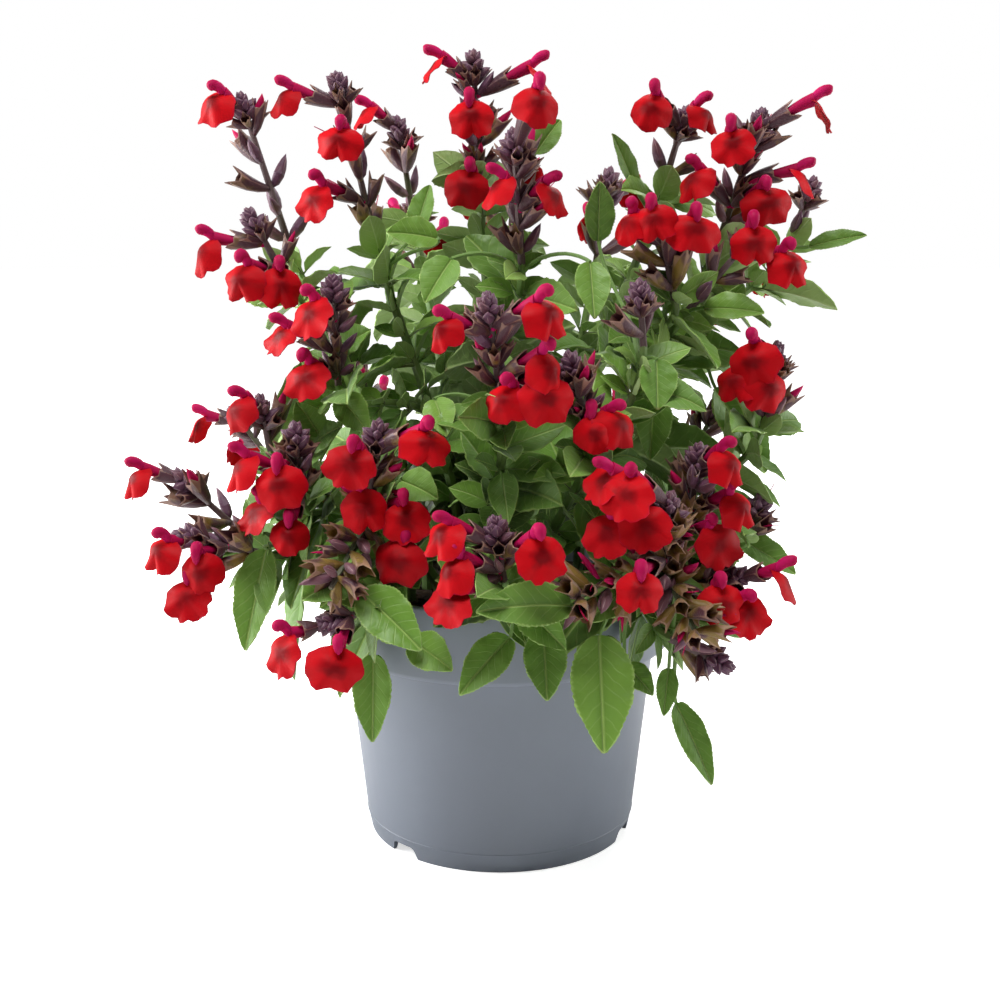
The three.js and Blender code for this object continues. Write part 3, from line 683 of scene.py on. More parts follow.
def rod(name, sides, rings, shape, materials, **shares):
    """A closed rod along X from 0 to 1, cut into rings, with its vertices moved by shape."""
    start_piece()
    bpy.ops.mesh.primitive_cylinder_add(vertices=sides, radius=1, depth=1, location=(0, 0, 0))
    made = bpy.context.object
    made.data.transform(Matrix.Translation((0.5, 0, 0)) @ Matrix.Rotation(math.pi / 2, 4, "Y"))
    with editing(made):
        for k in range(1, rings):
            bpy.ops.mesh.select_all(action="SELECT")
            bpy.ops.mesh.bisect(plane_co=(k / rings, 0, 0), plane_no=(1, 0, 0))
    return finish_master(shaped(made, shape, **shares), name, 0, materials)


def merged(made, distance):
    """Closes a master where its vertices have come together."""
    with editing(made):
        bpy.ops.mesh.remove_doubles(threshold=distance)
    return made


def group(name, outputs, inputs=()):
    """A shader node group with named inputs and outputs that are values. Returns it and its two end nodes."""
    tree = bpy.data.node_groups.new(name, "ShaderNodeTree")
    for way, keys in (("OUTPUT", outputs), ("INPUT", inputs)):
        for key in keys:
            tree.interface.new_socket(key, in_out=way, socket_type="NodeSocketFloat")
    return tree, tree.nodes.new("NodeGroupInput"), tree.nodes.new("NodeGroupOutput")


def ramp(tree, value, start, end, low=0.0, high=1.0):
    """A value eased from low to high as another goes from start to end."""
    return node(tree, "ShaderNodeMapRange", {
        "Value": value, "From Min": start, "From Max": end, "To Min": low, "To Max": high,
    }, interpolation_type="SMOOTHSTEP").outputs[0]


def times(tree, first, second):
    return math_node(tree, "MULTIPLY", first, second)


def attribute(tree, key):
    return node(tree, "ShaderNodeAttribute", attribute_name=key).outputs["Fac"]


# A leaf's net of veins: a midrib, and side veins that run forward from it and fade before the edge. Its
# height has pores and quilts between the veins, which are sunk.
veins, _, veins_out = group("leaf_veins", ["Veins", "Height"])
vein_side = math_node(veins, "ABSOLUTE", attribute(veins, "across"))
vein_phase = math_node(
    veins, "SUBTRACT", times(veins, attribute(veins, "along"), 8.0), times(veins, vein_side, 2.1),
)
vein_phase = math_node(veins, "ADD", vein_phase, times(veins, object_noise(veins, 150.0, 1.0), 0.9))
vein_saw = math_node(veins, "SUBTRACT", math_node(veins, "FRACT", vein_phase), 0.5)
side_veins = ramp(veins, math_node(veins, "ABSOLUTE", vein_saw), 0.4, 0.5)
side_veins = times(veins, side_veins, ramp(veins, vein_side, 0.5, 0.9, 1.0, 0.0))
vein_net = math_node(
    veins, "MAXIMUM", ramp(veins, vein_side, 0.01, 0.08, 1.0, 0.0), times(veins, side_veins, 0.28),
)
leaf_at = node(veins, "ShaderNodeTexCoord").outputs["Object"]
quilts = node(veins, "ShaderNodeTexVoronoi", {"Vector": leaf_at, "Scale": 480.0}).outputs["Distance"]
leaf_grain = math_node(
    veins, "ADD", times(veins, object_noise(veins, 900.0, 1.0), 0.25), times(veins, quilts, -0.6),
)
plug(veins, veins_out, Veins=vein_net, Height=math_node(veins, "SUBTRACT", leaf_grain, vein_net))

# Mottling, as a mask: patches of the size that the scale gives
mottle, mottle_in, mottle_out = group("mottle", ["Mask"], ["Scale"])
mottle_noise = object_noise(mottle, mottle_in.outputs["Scale"], 2.0)
plug(mottle, mottle_out, Mask=ramp(mottle, mottle_noise, 0.3, 0.7))


def use_group(tree, which, **inputs):
    made = node(tree, "ShaderNodeGroup", node_tree=which)
    for key, value in inputs.items():
        made.inputs[key].default_value = value
    return made.outputs


BROWNED_TIP = (112, 84, 40)


def leaf_material(name, shaded_green, middle, light, pale, depth):
    """A leaf's skin: greens that differ from leaf to leaf, with painted shade on leaves deep in the plant and
    painted light on those at its top and outside, pale veins and edge, and some tips gone brown.
    """
    made, tree, shader = new_material(
        name, Roughness=0.5, Sheen_Weight=0.12, Sheen_Roughness=0.5, Specular_IOR_Level=0.4,
    )
    net = use_group(tree, veins)
    spots = use_group(tree, mottle, Scale=60.0)["Mask"]
    tint = attribute(tree, "tint")
    # Painted shade and light: the tint runs from the shaded green deep in the plant, through the middle
    # green, to the light green at the plant's top and outside
    base = mixed(tree, ramp(tree, tint, 0.0, 0.5), srgb(*shaded_green), srgb(*middle))
    base = mixed(tree, ramp(tree, tint, 0.5, 1.0), base, srgb(*light))
    base = mixed(tree, times(tree, spots, 0.3), base, srgb(*middle))
    edge = times(tree, ramp(tree, attribute(tree, "rim"), 0.9, 1.0), 0.6)
    lines = math_node(tree, "MAXIMUM", net["Veins"], edge)
    base = mixed(tree, times(tree, lines, 0.5), base, srgb(*pale))
    tips_brown = times(tree, ramp(tree, attribute(tree, "along"), 0.92, 0.98), ramp(tree, spots, 0.75, 0.95))
    plug(
        tree, shader, Base_Color=mixed(tree, times(tree, tips_brown, 0.7), base, srgb(*BROWNED_TIP)),
        Roughness=ramp(tree, spots, 0.0, 1.0, 0.44, 0.6), Normal=bumped(tree, net["Height"], 0.6, depth),
    )
    return made


# For each side: the painted shade green, the middle green, the painted light green, the pale of veins and
# edge, and the bump depth
leaf_top = leaf_material("leaf_top", (38, 54, 20), (98, 138, 46), (162, 198, 84), (184, 208, 122), 0.4)
leaf_under = leaf_material(
    "leaf_under", (100, 126, 66), (138, 166, 92), (166, 192, 118), (190, 208, 146), -0.5,
)


def skin_material(name, base, flush, roughness, scale, depth, flush_from=0.35, edge=(150, 124, 112)):
    """A stem's or calyx's skin: two colours that run into each other, paler ribs and rims, and fine down."""
    made, tree, shader = new_material(name, Roughness=roughness, Sheen_Weight=0.12, Sheen_Roughness=0.4)
    spots = use_group(tree, mottle, Scale=scale)["Mask"]
    share = math_node(tree, "ADD", times(tree, spots, 0.5), times(tree, attribute(tree, "tint"), 0.7))
    skin = mixed(tree, ramp(tree, share, flush_from, 0.95), srgb(*base), srgb(*flush))
    ribs = times(tree, ramp(tree, attribute(tree, "rim"), 0.7, 1.0), 0.65)
    plug(
        tree, shader, Base_Color=mixed(tree, ribs, skin, srgb(*edge)),
        Normal=bumped(tree, object_noise(tree, 1500.0, 2.0), 0.6, depth),
    )
    return made


stem_green = skin_material("stem_green", (104, 138, 64), (86, 92, 52), 0.55, 40.0, 0.3)


def square_section(x, y, z):
    """A stem's section: square with round corners and flat sides."""
    swell = 1 / max(abs(y) + abs(z), 1e-6) * 0.35 + 0.72
    return x, y * swell, z * swell


stem_rod = rod("stem_rod", 8, 12, square_section, [stem_green])


def blade_outline(share):
    """The half width of a blade at a share of its length, as a share of its widest."""
    return math.sin(math.pi * min(max(share, 0), 1) ** 0.8) ** 0.75


BLADE_END = 0.98
BLADE_THICKNESS = 0.05


def leaf_master(name, rows, columns, start, teeth, tooth_depth, with_petiole):
    """A toothed blade along X from start to 1, folded a little along its midrib, with waved edges."""
    start_piece()
    bpy.ops.mesh.primitive_grid_add(x_subdivisions=rows, y_subdivisions=columns, size=2)

    def shape(x, y, _):
        share = (x + 1) / 2
        tooth = -tooth_depth * (teeth * share % 1) * abs(y) ** 4 * min(4 * math.sin(math.pi * share), 1)
        width = blade_outline(share) + 0.05 * (1 - share)
        across = y * width * (1 + tooth)
        lift = 0.36 * abs(across) - 0.12 * abs(across) ** 3 - 0.07 * math.exp(-(across * 9) ** 2)
        wave = 0.05 * math.sin(3.2 * math.tau * share + (1.4 if y > 0 else 0)) * y * y * width
        return start + (BLADE_END - start) * share, across, lift + wave

    blade = merged(shaped(bpy.context.object, shape, rim=lambda x, y, z: abs(y)), 0.004)
    finish_master(blade, name, BLADE_THICKNESS, [leaf_top, leaf_under])
    if with_petiole:
        petiole = rod(name + "_petiole", 5, 3, lambda x, y, z: (
            -0.03 + 0.4 * x, y * 0.1 * (1.15 - x), z * 0.1 * (1.15 - x) - 0.08,
        ), [stem_green])
        masters.remove(petiole)
        joined(name, [blade, petiole])
    return blade


large_blade = leaf_master("large_blade", 60, 8, 0.0, 20, 0.08, False)
middle_blade = leaf_master("middle_blade", 18, 6, 0.13, 9, 0.12, True)
young_blade = leaf_master("young_blade", 6, 2, 0.1, 0, 0, True)


def across_blade(lit, aim, roll):
    """The way across a blade that has its face up and towards a lit place out from the plant."""
    light = Vector((lit.x, lit.y, 0)).normalized() + UP * LIGHT_SLOPE
    return turned(light.cross(aim).normalized(), aim.normalized(), roll)


def midrib_of(foot, aim, sag, side, steps=8):
    """The stations along a blade's midrib, which runs from its foot along aim and sags."""
    stations = []
    for k in range(steps + 1):
        share = k / steps
        run = (aim - UP * 2 * sag * share).normalized()
        stations.append((foot + aim * share - UP * sag * share * share, run, side))
    return stations


sprays = []
for stem, fork, foot, tip, flowers in SPRAYS:
    sprays.append({
        "stem": stem, "fork": fork, "foot": Vector(foot), "tip": Vector(tip),
        "heading": headed(Vector(foot), Vector(tip)), "flowers": flowers,
    })


def leaves_along(stations, seed, first, tips):
    """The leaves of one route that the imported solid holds, found by their tips.

    Each is given as its foot, the way and length of its midrib, its sag and its roll.
    """
    found = []
    length = length_of(stations)
    for k in range(max(int((length - first - 3) // LEAF_SPACING) + 1, 0)):
        share = (first + k * LEAF_SPACING) / length
        place, heading, across = station_at(stations, share)
        for way in (0, 1):
            following = draws(seed * 100 + k * 2 + way)
            reach = LEAF_LENGTH * (1 - 0.35 * share) * (0.8 + 0.4 * following())
            turn = k * 90 + way * 180 + 30 + 30 * following()
            tilt = 40 + 40 * following()
            droop = 0.1 + 0.5 * following()
            roll = 60 * following() - 30
            for bend_turn, bend_tilt, grow in BENDS:
                out = turned(across, heading, turn + bend_turn)
                aim = leaning(heading, out, tilt + bend_tilt) * reach * grow
                sag = droop * reach * grow
                if tips.find((place + aim - UP * sag) * MM)[2] < GAP * MM:
                    found.append((place, aim, sag, roll))
                    break
    return found


def tips_of(cad_name):
    """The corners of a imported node, to look up near a place."""
    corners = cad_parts[cad_name].data.vertices
    tree = kdtree.KDTree(len(corners))
    for k, corner in enumerate(corners):
        tree.insert(corner.co, k)
    tree.balance()
    return tree


def leaf_tint_and_shade(place, pick):
    """How light a leaf is, in painted shade and light: darker deep in the plant, lighter at its top and its
    outside, with a tone that differs at random.
    """
    outside = math.hypot(place.x, place.y) / 90
    return 0.5 * (place.z - 120) / 130 + 0.35 * outside + pick.uniform(-0.15, 0.3)


def kept_inside(piece):
    """Presses in the edges of leaves and petals that stand a little out of the solids' box."""
    corners = piece.data.vertices
    places = np.empty(len(corners) * 3)
    corners.foreach_get("co", places)
    corners.foreach_set("co", np.clip(places.reshape(-1, 3), *cad_box).ravel())


def axil_leaves(stations, first, spacing, seed, sizes):
    """Tufts of young leaves on a route: two at each side of each place, crosswise to the last."""
    pick = random.Random(seed)
    length = length_of(stations)
    copies = []
    at, k = first, 0
    while at < length - 2:
        place, heading, across = station_at(stations, at / length)
        for way in range(4):
            reach = pick.uniform(*sizes)
            out = turned(across, heading, k * 90 + way * 90 + pick.uniform(-25, 25))
            aim = leaning(heading, out, pick.uniform(30, 75)) * reach
            sag = reach * pick.uniform(0, 0.35)
            side = across_blade(place, aim, pick.uniform(-30, 30))
            width = reach * pick.uniform(0.2, 0.27)
            tint = leaf_tint_and_shade(place, pick) + 0.15
            copies.append(bent_copy(young_blade, midrib_of(place, aim, sag, side, 3), (width, width), tint))
        at, k = at + spacing, k + 1
    return copies


def large_leaf(routes, foot, tip, width, tint):
    """A large leaf with its face to the front. Its petiole leaves the wood at the nearest place."""
    sag = (tip - foot).length * LARGE_LEAF_SAG
    aim = tip - foot + UP * sag
    places = [station_at(stations, step / 10)[0] for stations in routes for step in range(2, 10)]
    start = min(places, key=lambda place: (place - foot).length)
    straight = headed(start, foot)
    out = (straight + UP).normalized()
    side = across_blade(Vector((foot.x * FRONT_SPREAD, foot.y - FRONT_LEAN, 0)), aim, 0)
    petiole = route(start, out, foot, (straight + aim.normalized()).normalized(), 8, side)
    petiole.insert(0, (start - out * ROOT_DEPTH, out, petiole[0][2]))
    return [
        bent_copy(stem_rod, petiole, (PETIOLE_RADIUS, PETIOLE_RADIUS * 0.7), 0.1),
        bent_copy(large_blade, midrib_of(foot, aim, sag, side, 16), (width / 2, width / 2), tint),
    ]


for k, (x, y) in enumerate(HOLES):
    number = f"{k + 1:02d}"
    tips = tips_of("leafy_stem_" + number)
    pick = random.Random(1000 + k)
    top, *rest = [spray for spray in sprays if spray["stem"] == k]
    ends = (Vector((x, y, STEM_FOOT)), UP, top["foot"], top["heading"])
    main = route(*ends, STEM_STEPS, RIGHT)
    fine = route(*ends, STEM_STEPS * 4, RIGHT)
    sunk = (Vector((x, y, HOLE_FLOOR)), UP, RIGHT)
    pieces = [
        bent_copy(stem_rod, [sunk, fine[0]], (STEM_RADIUS, STEM_RADIUS), 0.2),
        bent_copy(stem_rod, fine, (STEM_RADIUS, TWIG_RADIUS), pick.uniform(0.1, 0.6)),
    ]
    leaves = leaves_along(main, 5 * k, FIRST_LEAF, tips)
    pieces += axil_leaves(main, FIRST_LEAF, TUFT_SPACING, 50 * k, STEM_TUFT_LEAVES)
    routes = [main]
    for b, spray in enumerate(rest):
        place, heading, across = station_at(main, spray["fork"])
        start_heading = (heading + headed(place, spray["foot"])).normalized()
        ends = (place, start_heading, spray["foot"], spray["heading"])
        routes.append(route(*ends, BRANCH_STEPS, across))
        fine = route(*ends, BRANCH_STEPS * 4, across)
        pieces.append(bent_copy(stem_rod, fine, (TWIG_RADIUS, TWIG_RADIUS), pick.uniform(0.2, 0.8)))
        leaves += leaves_along(routes[-1], 5 * k + b + 1, FIRST_BRANCH_LEAF, tips)
        seed = 50 * k + b + 1
        pieces += axil_leaves(routes[-1], FIRST_BRANCH_LEAF, TUFT_SPACING, seed, TWIG_TUFT_LEAVES)
    for place, aim, sag, roll in leaves:
        half_width = aim.length * LEAF_SLIMNESS / 2
        midrib = midrib_of(place, aim, sag, across_blade(place, aim, roll))
        pieces.append(bent_copy(middle_blade, midrib, (half_width, half_width), leaf_tint_and_shade(place, pick)))
    for owner, foot, tip, width in LARGE_LEAVES + YOUNG_LEAVES:
        if owner == k:
            tint = pick.uniform(*LARGE_LEAF_TINTS)
            pieces += large_leaf(routes, Vector(foot), Vector(tip), width, tint)
    stem = joined("leafy_shoot_" + number, pieces)
    kept_inside(stem)
    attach(stem, "root")
    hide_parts("leafy_stem_" + number)

# Flower sprays. A dark downy stalk carries ribbed purple calyces in crosswise whorls and a tight head of
# buds. Each open flower is a calyx, a magenta tube that ends in a hood, and a scarlet lip that hangs from it.

STALK_RADIUS = 1.2
MOUTH_ABOVE = 6
MOUTH_BEHIND = 3.5
TUBE_RADIUS = 2.6
CALYX_RADIUS = 2.8
CALYX_LENGTH = 12.5
FLOWER_RISE = 9
PAIR_SPACING = 9
HEAD_LENGTH = 11
BRISTLE_LENGTH = 0.7
SPENT_SPACING = 5
CALYX_THICKNESS = 0.08
CALYX_PLUMPNESS = 0.21
BUD_PLUMPNESS = 0.15
PETAL_BUD_PLUMPNESS = 0.18
BUDS_ABOVE = 0.7
STYLES_BELOW = 0.36
PETAL_BUDS_BELOW = 0.25
STYLE_RADIUS = 0.3
LIP_FRONT = 2.8
LIP_MIDDLE_ABOVE = 1.5
LIP_THICKNESS = 0.3
CREASE_DEPTH = 0.8
HOOD_RADIUS = 1.75
HOOD_RISE = (8.2, 9.6)
HOOD_DROP = (3.8, 5.0)
HOOD_SET_BACK = 3.2

# Where the first whorl stands above a stalk's foot, and on a spray gone over, where it is on the wood below
FIRST_WHORL = 3
LOW_WHORL = -12

# A lip hangs in its tube by its top, which is this far above its middle and this far behind
LIP_ANCHOR = (6.2, 4.3)

# Sprays whose whorls stand closer, with the distance between them, and how far a spray has gone over to
# empty olive calyces
CROWDED = {
    4: 7, 6: 6, 8: 7, 9: 6, 11: 8, 12: 8, 13: 6, 14: 6, 15: 6, 18: 8, 19: 8, 22: 6, 24: 6, 25: 5, 26: 6,
}
GONE_OVER = {9: 0.45, 14: 0.4, 18: 0.3, 19: 0.35, 22: 0.3, 24: 0.35, 25: 0.7, 26: 0.8, 27: 0.5}

stalk_purple = skin_material("stalk_purple", (84, 62, 62), (74, 84, 48), 0.6, 60.0, 0.3, 0.55)
calyx_purple = skin_material(
    "calyx_purple", (72, 34, 46), (124, 98, 34), 0.5, 160.0, 0.35, 0.62, (154, 116, 96),
)
bud_purple = skin_material("bud_purple", (88, 50, 74), (104, 62, 72), 0.55, 200.0, 0.3, 0.4, (182, 150, 146))


def petal_material(name, throat, far, rim, gleam):
    """A petal: velvety, with another colour at its throat, which on the lip is painted shade, darker and more
    crimson, and a thin edge of another red.
    """
    made, tree, shader = new_material(
        name, Roughness=0.55, Specular_IOR_Level=0.08, Sheen_Weight=gleam, Sheen_Roughness=0.35,
        Sheen_Tint=(1.0, 0.1, 0.15, 1), Subsurface_Weight=0.1, Subsurface_Radius=(1.0, 0.2, 0.2),
        Subsurface_Scale=MM,
    )
    spots = use_group(tree, mottle, Scale=240.0)["Mask"]
    uneven = times(tree, math_node(tree, "SUBTRACT", spots, 0.5), 0.2)
    share = ramp(tree, math_node(tree, "ADD", attribute(tree, "along"), uneven), 0.12, 0.62)
    # On the lip the throat colour is painted shade: the dark crimson stands for the shade that the hood casts
    # into the cupped lip
    base = mixed(tree, share, srgb(*throat), srgb(*far))
    base = mixed(tree, ramp(tree, attribute(tree, "rim"), 0.9, 1.0), base, srgb(*rim))
    plug(
        tree, shader, Base_Color=mixed(tree, times(tree, attribute(tree, "tint"), 0.5), base, srgb(*throat)),
        Roughness=ramp(tree, spots, 0.0, 1.0, 0.5, 0.65),
        Normal=bumped(tree, object_noise(tree, 1300.0, 2.0), 0.3, 0.15),
    )
    return made


# The lip's first colour, at its throat, is painted shade
lip_scarlet = petal_material("lip_scarlet", (118, 3, 12), (187, 7, 19), (176, 10, 34), 0.02)
hood_magenta = petal_material("hood_magenta", (184, 24, 92), (160, 12, 66), (160, 12, 66), 0.1)

plain_stalk = rod("plain_stalk", 8, 10, square_section, [stalk_purple])


def bristled(name, stalk, rows, around):
    """A copy of a stalk with rows of short stiff hairs that stand out of its skin and lean to its tip."""
    start_piece()
    bpy.ops.mesh.primitive_cone_add(vertices=3, radius1=1, radius2=0, depth=1, location=(0, 0, 0))
    hair = bpy.context.object
    hair.data.transform(Matrix.Diagonal((0.0015, 0.05, BRISTLE_LENGTH, 1)) @ Matrix.Translation((0, 0, 0.5)))
    hair.data.materials.append(stalk_purple)
    give(hair, "rim", [1.0] * len(hair.data.vertices))
    pieces = [moved_copy(stalk, Matrix())]
    for row in range(rows):
        for k in range(around):
            turn = Matrix.Rotation(math.tau * (k + row % 2 / 2) / around, 4, "X")
            lean = Matrix.Translation(((row + 0.5) / rows, 0, 0)) @ turn @ Matrix.Translation((0, 0, 0.72))
            pieces.append(moved_copy(hair, lean))
    bpy.data.objects.remove(hair)
    made = joined(name, pieces)
    masters.append(made)
    return made


stalk_rod = bristled("stalk_rod", plain_stalk, 26, 4)


def from_top(y, z):
    """The turn of a place round a calyx from its upper side, in degrees."""
    return math.degrees(math.atan2(y, z))


def bell(x, y, z):
    """A calyx: narrow at its foot, swelling to a ribbed bell, with teeth round its mouth."""
    angle = math.radians(from_top(y, z))
    radius = (0.3 + 0.7 * math.sin(min(max(x, 0), 1) * math.pi * 0.5) ** 0.9) * math.hypot(y, z)
    rib = 1 + 0.08 * math.cos(5 * angle) * x
    tooth = 0.24 * max(math.cos(2.5 * angle), 0) if x > 0.99 else 0
    flare = 1 + 0.6 * tooth
    return x * 0.8 + tooth, math.sin(angle) * radius * rib * flare, math.cos(angle) * radius * rib * flare


def on_rib(x, y, z):
    """1 on a calyx's ribs and along its mouth, 0 between them."""
    return max(math.cos(math.radians(5 * from_top(y, z))) * 0.9, (x - 0.9) * 10 if x > 0.9 else 0)


def calyx_master(name, sides, rings):
    """A calyx along X: a thin cup that is closed at 0 and open at 1."""
    start_piece()
    bpy.ops.mesh.primitive_circle_add(vertices=sides, radius=1, fill_type="NGON")
    made = bpy.context.object
    made.data.transform(Matrix.Rotation(math.pi / 2, 4, "Y"))
    with editing(made):
        bpy.ops.mesh.select_mode(type="EDGE")
        for _ in range(rings):
            bpy.ops.mesh.extrude_region_move(TRANSFORM_OT_translate={"value": (1 / rings, 0, 0)})
        bpy.ops.mesh.delete(type="ONLY_FACE")
        bpy.ops.mesh.select_all(action="SELECT")
        bpy.ops.mesh.normals_make_consistent(inside=False)
    top = max(made.data.vertices, key=lambda vertex: vertex.co.z).co
    made.data.transform(Matrix.Rotation(math.atan2(top.y, top.z), 4, "X"))
    return finish_master(shaped(made, bell, rim=on_rib), name, CALYX_THICKNESS, [calyx_purple])


calyx = calyx_master("calyx", 10, 3)
fine_calyx = calyx_master("fine_calyx", 20, 5)


def bud_shape(x, y, z):
    """A closed bud: an egg with a pointed, ribbed tip."""
    angle = math.atan2(z, y)
    radius = max(math.sin(math.pi * min(max(x, 0), 1) ** 0.75), 0) ** 0.8
    rib = 1 + 0.16 * math.cos(4 * angle) * x
    return x, math.cos(angle) * radius * rib, math.sin(angle) * radius * rib


def bud_rib(x, y, z):
    """1 on a bud's ribs towards its tip, 0 between them."""
    return max(math.cos(4 * math.atan2(z, y)), 0) * min(0.45 + 0.7 * x, 1) + 0.6 * (x > 0.95)


END_DOUBLES = 0.0005
bud = merged(rod("bud", 8, 5, bud_shape, [bud_purple], rim=bud_rib), END_DOUBLES)
petal_bud = merged(rod("petal_bud", 8, 5, bud_shape, [hood_magenta]), END_DOUBLES)


def hood_shape(x, y, z):
    """An upper lip: a helmet that swells over its back and then narrows to a blunt tip."""
    if x < 0.55:
        radius = 0.72 + 0.28 * math.sin(math.pi * x / 1.1)
    else:
        radius = max(1 - ((x - 0.55) / 0.45) ** 2, 0) ** 0.6
    return x, y * radius, z * radius


def tube_shape(x, y, z):
    """A corolla tube: slim where it leaves the calyx, bellied below, and wide at its mouth."""
    radius = 0.5 + 0.5 * max(x, 0) ** 1.2
    return x, y * radius * 0.9, z * radius - 0.12 * math.sin(math.pi * min(max(x, 0), 1))


def style_shape(x, y, z):
    """A style: a thread that bows down towards its tip."""
    return x, y * (1 - 0.5 * x), z * (1 - 0.5 * x) - 6 * x * x


hood = merged(rod("hood", 12, 10, hood_shape, [hood_magenta]), END_DOUBLES)
tube = rod("tube", 10, 6, tube_shape, [hood_magenta])
style = rod("style", 4, 4, style_shape, [hood_magenta])

# The outlines of lips about their middles: degrees from straight down, reach in mm, and how far the edge
# lies behind the middle
LIP_OUTLINES = {
    "broad_lip": [
        (0, 8.0, 1.6), (15, 8.9, 2.2), (38, 9.4, 3.2), (62, 9.6, 4.2), (84, 9.2, 4.7), (106, 8.2, 4.8),
        (128, 6.8, 5.2), (150, 5.7, 6.0), (180, 5.6, 7.0),
    ],
    "notched_lip": [
        (0, 6.4, 1.2), (14, 8.4, 1.8), (34, 9.5, 2.8), (58, 9.2, 4.2), (84, 8.6, 5.0), (106, 7.8, 5.0),
        (128, 6.7, 5.4), (150, 5.7, 6.0), (180, 5.6, 6.8),
    ],
    "drooping_lip": [
        (0, 8.6, 0.8), (18, 8.9, 1.6), (40, 8.6, 4.0), (62, 8.0, 5.6), (84, 7.5, 6.4), (106, 7.0, 6.2),
        (128, 6.2, 6.0), (150, 5.6, 6.2), (180, 5.6, 6.8),
    ],
    "dished_lip": [
        (0, 7.6, 0.2), (18, 8.8, -0.4), (40, 9.3, -0.2), (62, 9.5, 0.6), (84, 9.0, 1.4), (106, 8.2, 2.2),
        (128, 6.8, 3.2), (150, 5.7, 4.4), (180, 5.6, 5.4),
    ],
}
LIP_RINGS = 5
LIP_SIDES = 32


def lip_master(name, ahead, ripple, ragged):
    """A lower lip: a broad lobed apron with a ragged edge, hung by its narrow top from the tube's mouth.

    X goes to the side, Y up and Z ahead, in mm from the lip's own middle, which lies ahead of its place.
    """
    start_piece()
    bpy.ops.mesh.primitive_circle_add(vertices=LIP_SIDES, radius=1, fill_type="NOTHING")
    made = bpy.context.object
    with editing(made):
        for k in range(LIP_RINGS, 1, -1):
            bpy.ops.mesh.extrude_region_move()
            bpy.ops.transform.resize(value=((k - 1) / k,) * 3)
        bpy.ops.mesh.extrude_region_move()
        bpy.ops.mesh.merge(type="CENTER")
        bpy.ops.mesh.select_all(action="SELECT")
        bpy.ops.mesh.normals_make_consistent(inside=False)
    angles, reaches, drops = zip(*LIP_OUTLINES[name])
    seed = sum(map(ord, name))

    def shape(x, y, _):
        radius = math.hypot(x, y)
        down = math.atan2(x, -y) if radius > 1e-6 else 0
        here = abs(math.degrees(down))
        uneven = noise.noise((math.cos(down) * 4, math.sin(down) * 4, seed)) * (1 + math.cos(down))
        reach = np.interp(here, angles, reaches) * (1 + ragged * uneven * radius ** 4)
        wave = ripple * math.sin(down * 6 + seed) * (1 + math.cos(down)) / 2 * radius ** 2.5
        crease = CREASE_DEPTH * max(math.cos(down), 0) * radius
        crease *= math.exp(-(math.sin(down) * radius / 0.2) ** 2)
        height = ahead - np.interp(here, angles, drops) * radius ** 1.7 + wave - crease
        return (
            math.sin(down) * reach * radius, LIP_MIDDLE_ABOVE - math.cos(down) * reach * radius,
            min(height, LIP_FRONT),
        )

    shaped(made, shape, along=from_middle, rim=from_middle)
    if made.data.polygons[0].normal.z < 0:
        made.data.flip_normals()
    return finish_master(made, name, LIP_THICKNESS, [lip_scarlet])


def from_middle(x, y, z):
    return math.hypot(x, y)


lips = [
    lip_master("broad_lip", 2.4, 1.0, 0.12), lip_master("notched_lip", 2.2, 1.3, 0.14),
    lip_master("drooping_lip", 2.2, 1.1, 0.14), lip_master("dished_lip", 0.8, 1.4, 0.14),
]


def face_of(turn):
    return Vector((math.sin(math.radians(turn)), -math.cos(math.radians(turn)), 0))


def mouth_of(x, y, z, turn):
    return Vector((x, y, z + MOUTH_ABOVE)) - face_of(turn) * MOUTH_BEHIND


def root_share(spray, row):
    """The share of a stalk where a flower leaves it, so that the flower leans up along the stalk."""
    along = (mouth_of(*row) - spray["foot"]).dot(spray["heading"]) - FLOWER_RISE
    return min(max(along / (spray["tip"] - spray["foot"]).length, 0.06), 0.8)


def placed_lip(master, lip, side, face, sizes, tilt, nod, tint):
    """A copy of a lip, of its width, height and depth, tilted and nodding, that hangs in its tube."""
    stand = Matrix((side, UP, face)).transposed().to_4x4()
    stand @= Matrix.Rotation(math.radians(tilt), 4, "Z") @ Matrix.Rotation(math.radians(nod), 4, "X")
    scale = Matrix.Diagonal((MM * sizes[0], MM * sizes[1], MM * sizes[2], 1))
    made = moved_copy(master, Matrix.Translation(lip * MM) @ stand @ scale)
    made.data.attributes["tint"].data.foreach_set("value", np.full(len(made.data.vertices), tint))
    top = max(range(len(made.data.vertices)), key=lambda k: master.data.vertices[k].co.y)
    anchor = lip + UP * LIP_ANCHOR[0] - face * LIP_ANCHOR[1]
    made.data.transform(Matrix.Translation(anchor * MM - made.data.vertices[top].co))
    front = max((vertex.co / MM - lip).dot(face) for vertex in made.data.vertices)
    if front > LIP_FRONT:
        made.data.transform(Matrix.Translation(face * (LIP_FRONT - front) * MM))
    return made


def set_back(x, y, z):
    """How far back a hood stands: behind the lip of a flower that hangs just above it, where there is one."""
    others = [row for spray in sprays for row in spray["flowers"]]
    return HOOD_SET_BACK * any(
        0 < other[2] - z < 15 and abs(other[0] - x) < 9 and abs(other[1] - y) < 9 for other in others
    )


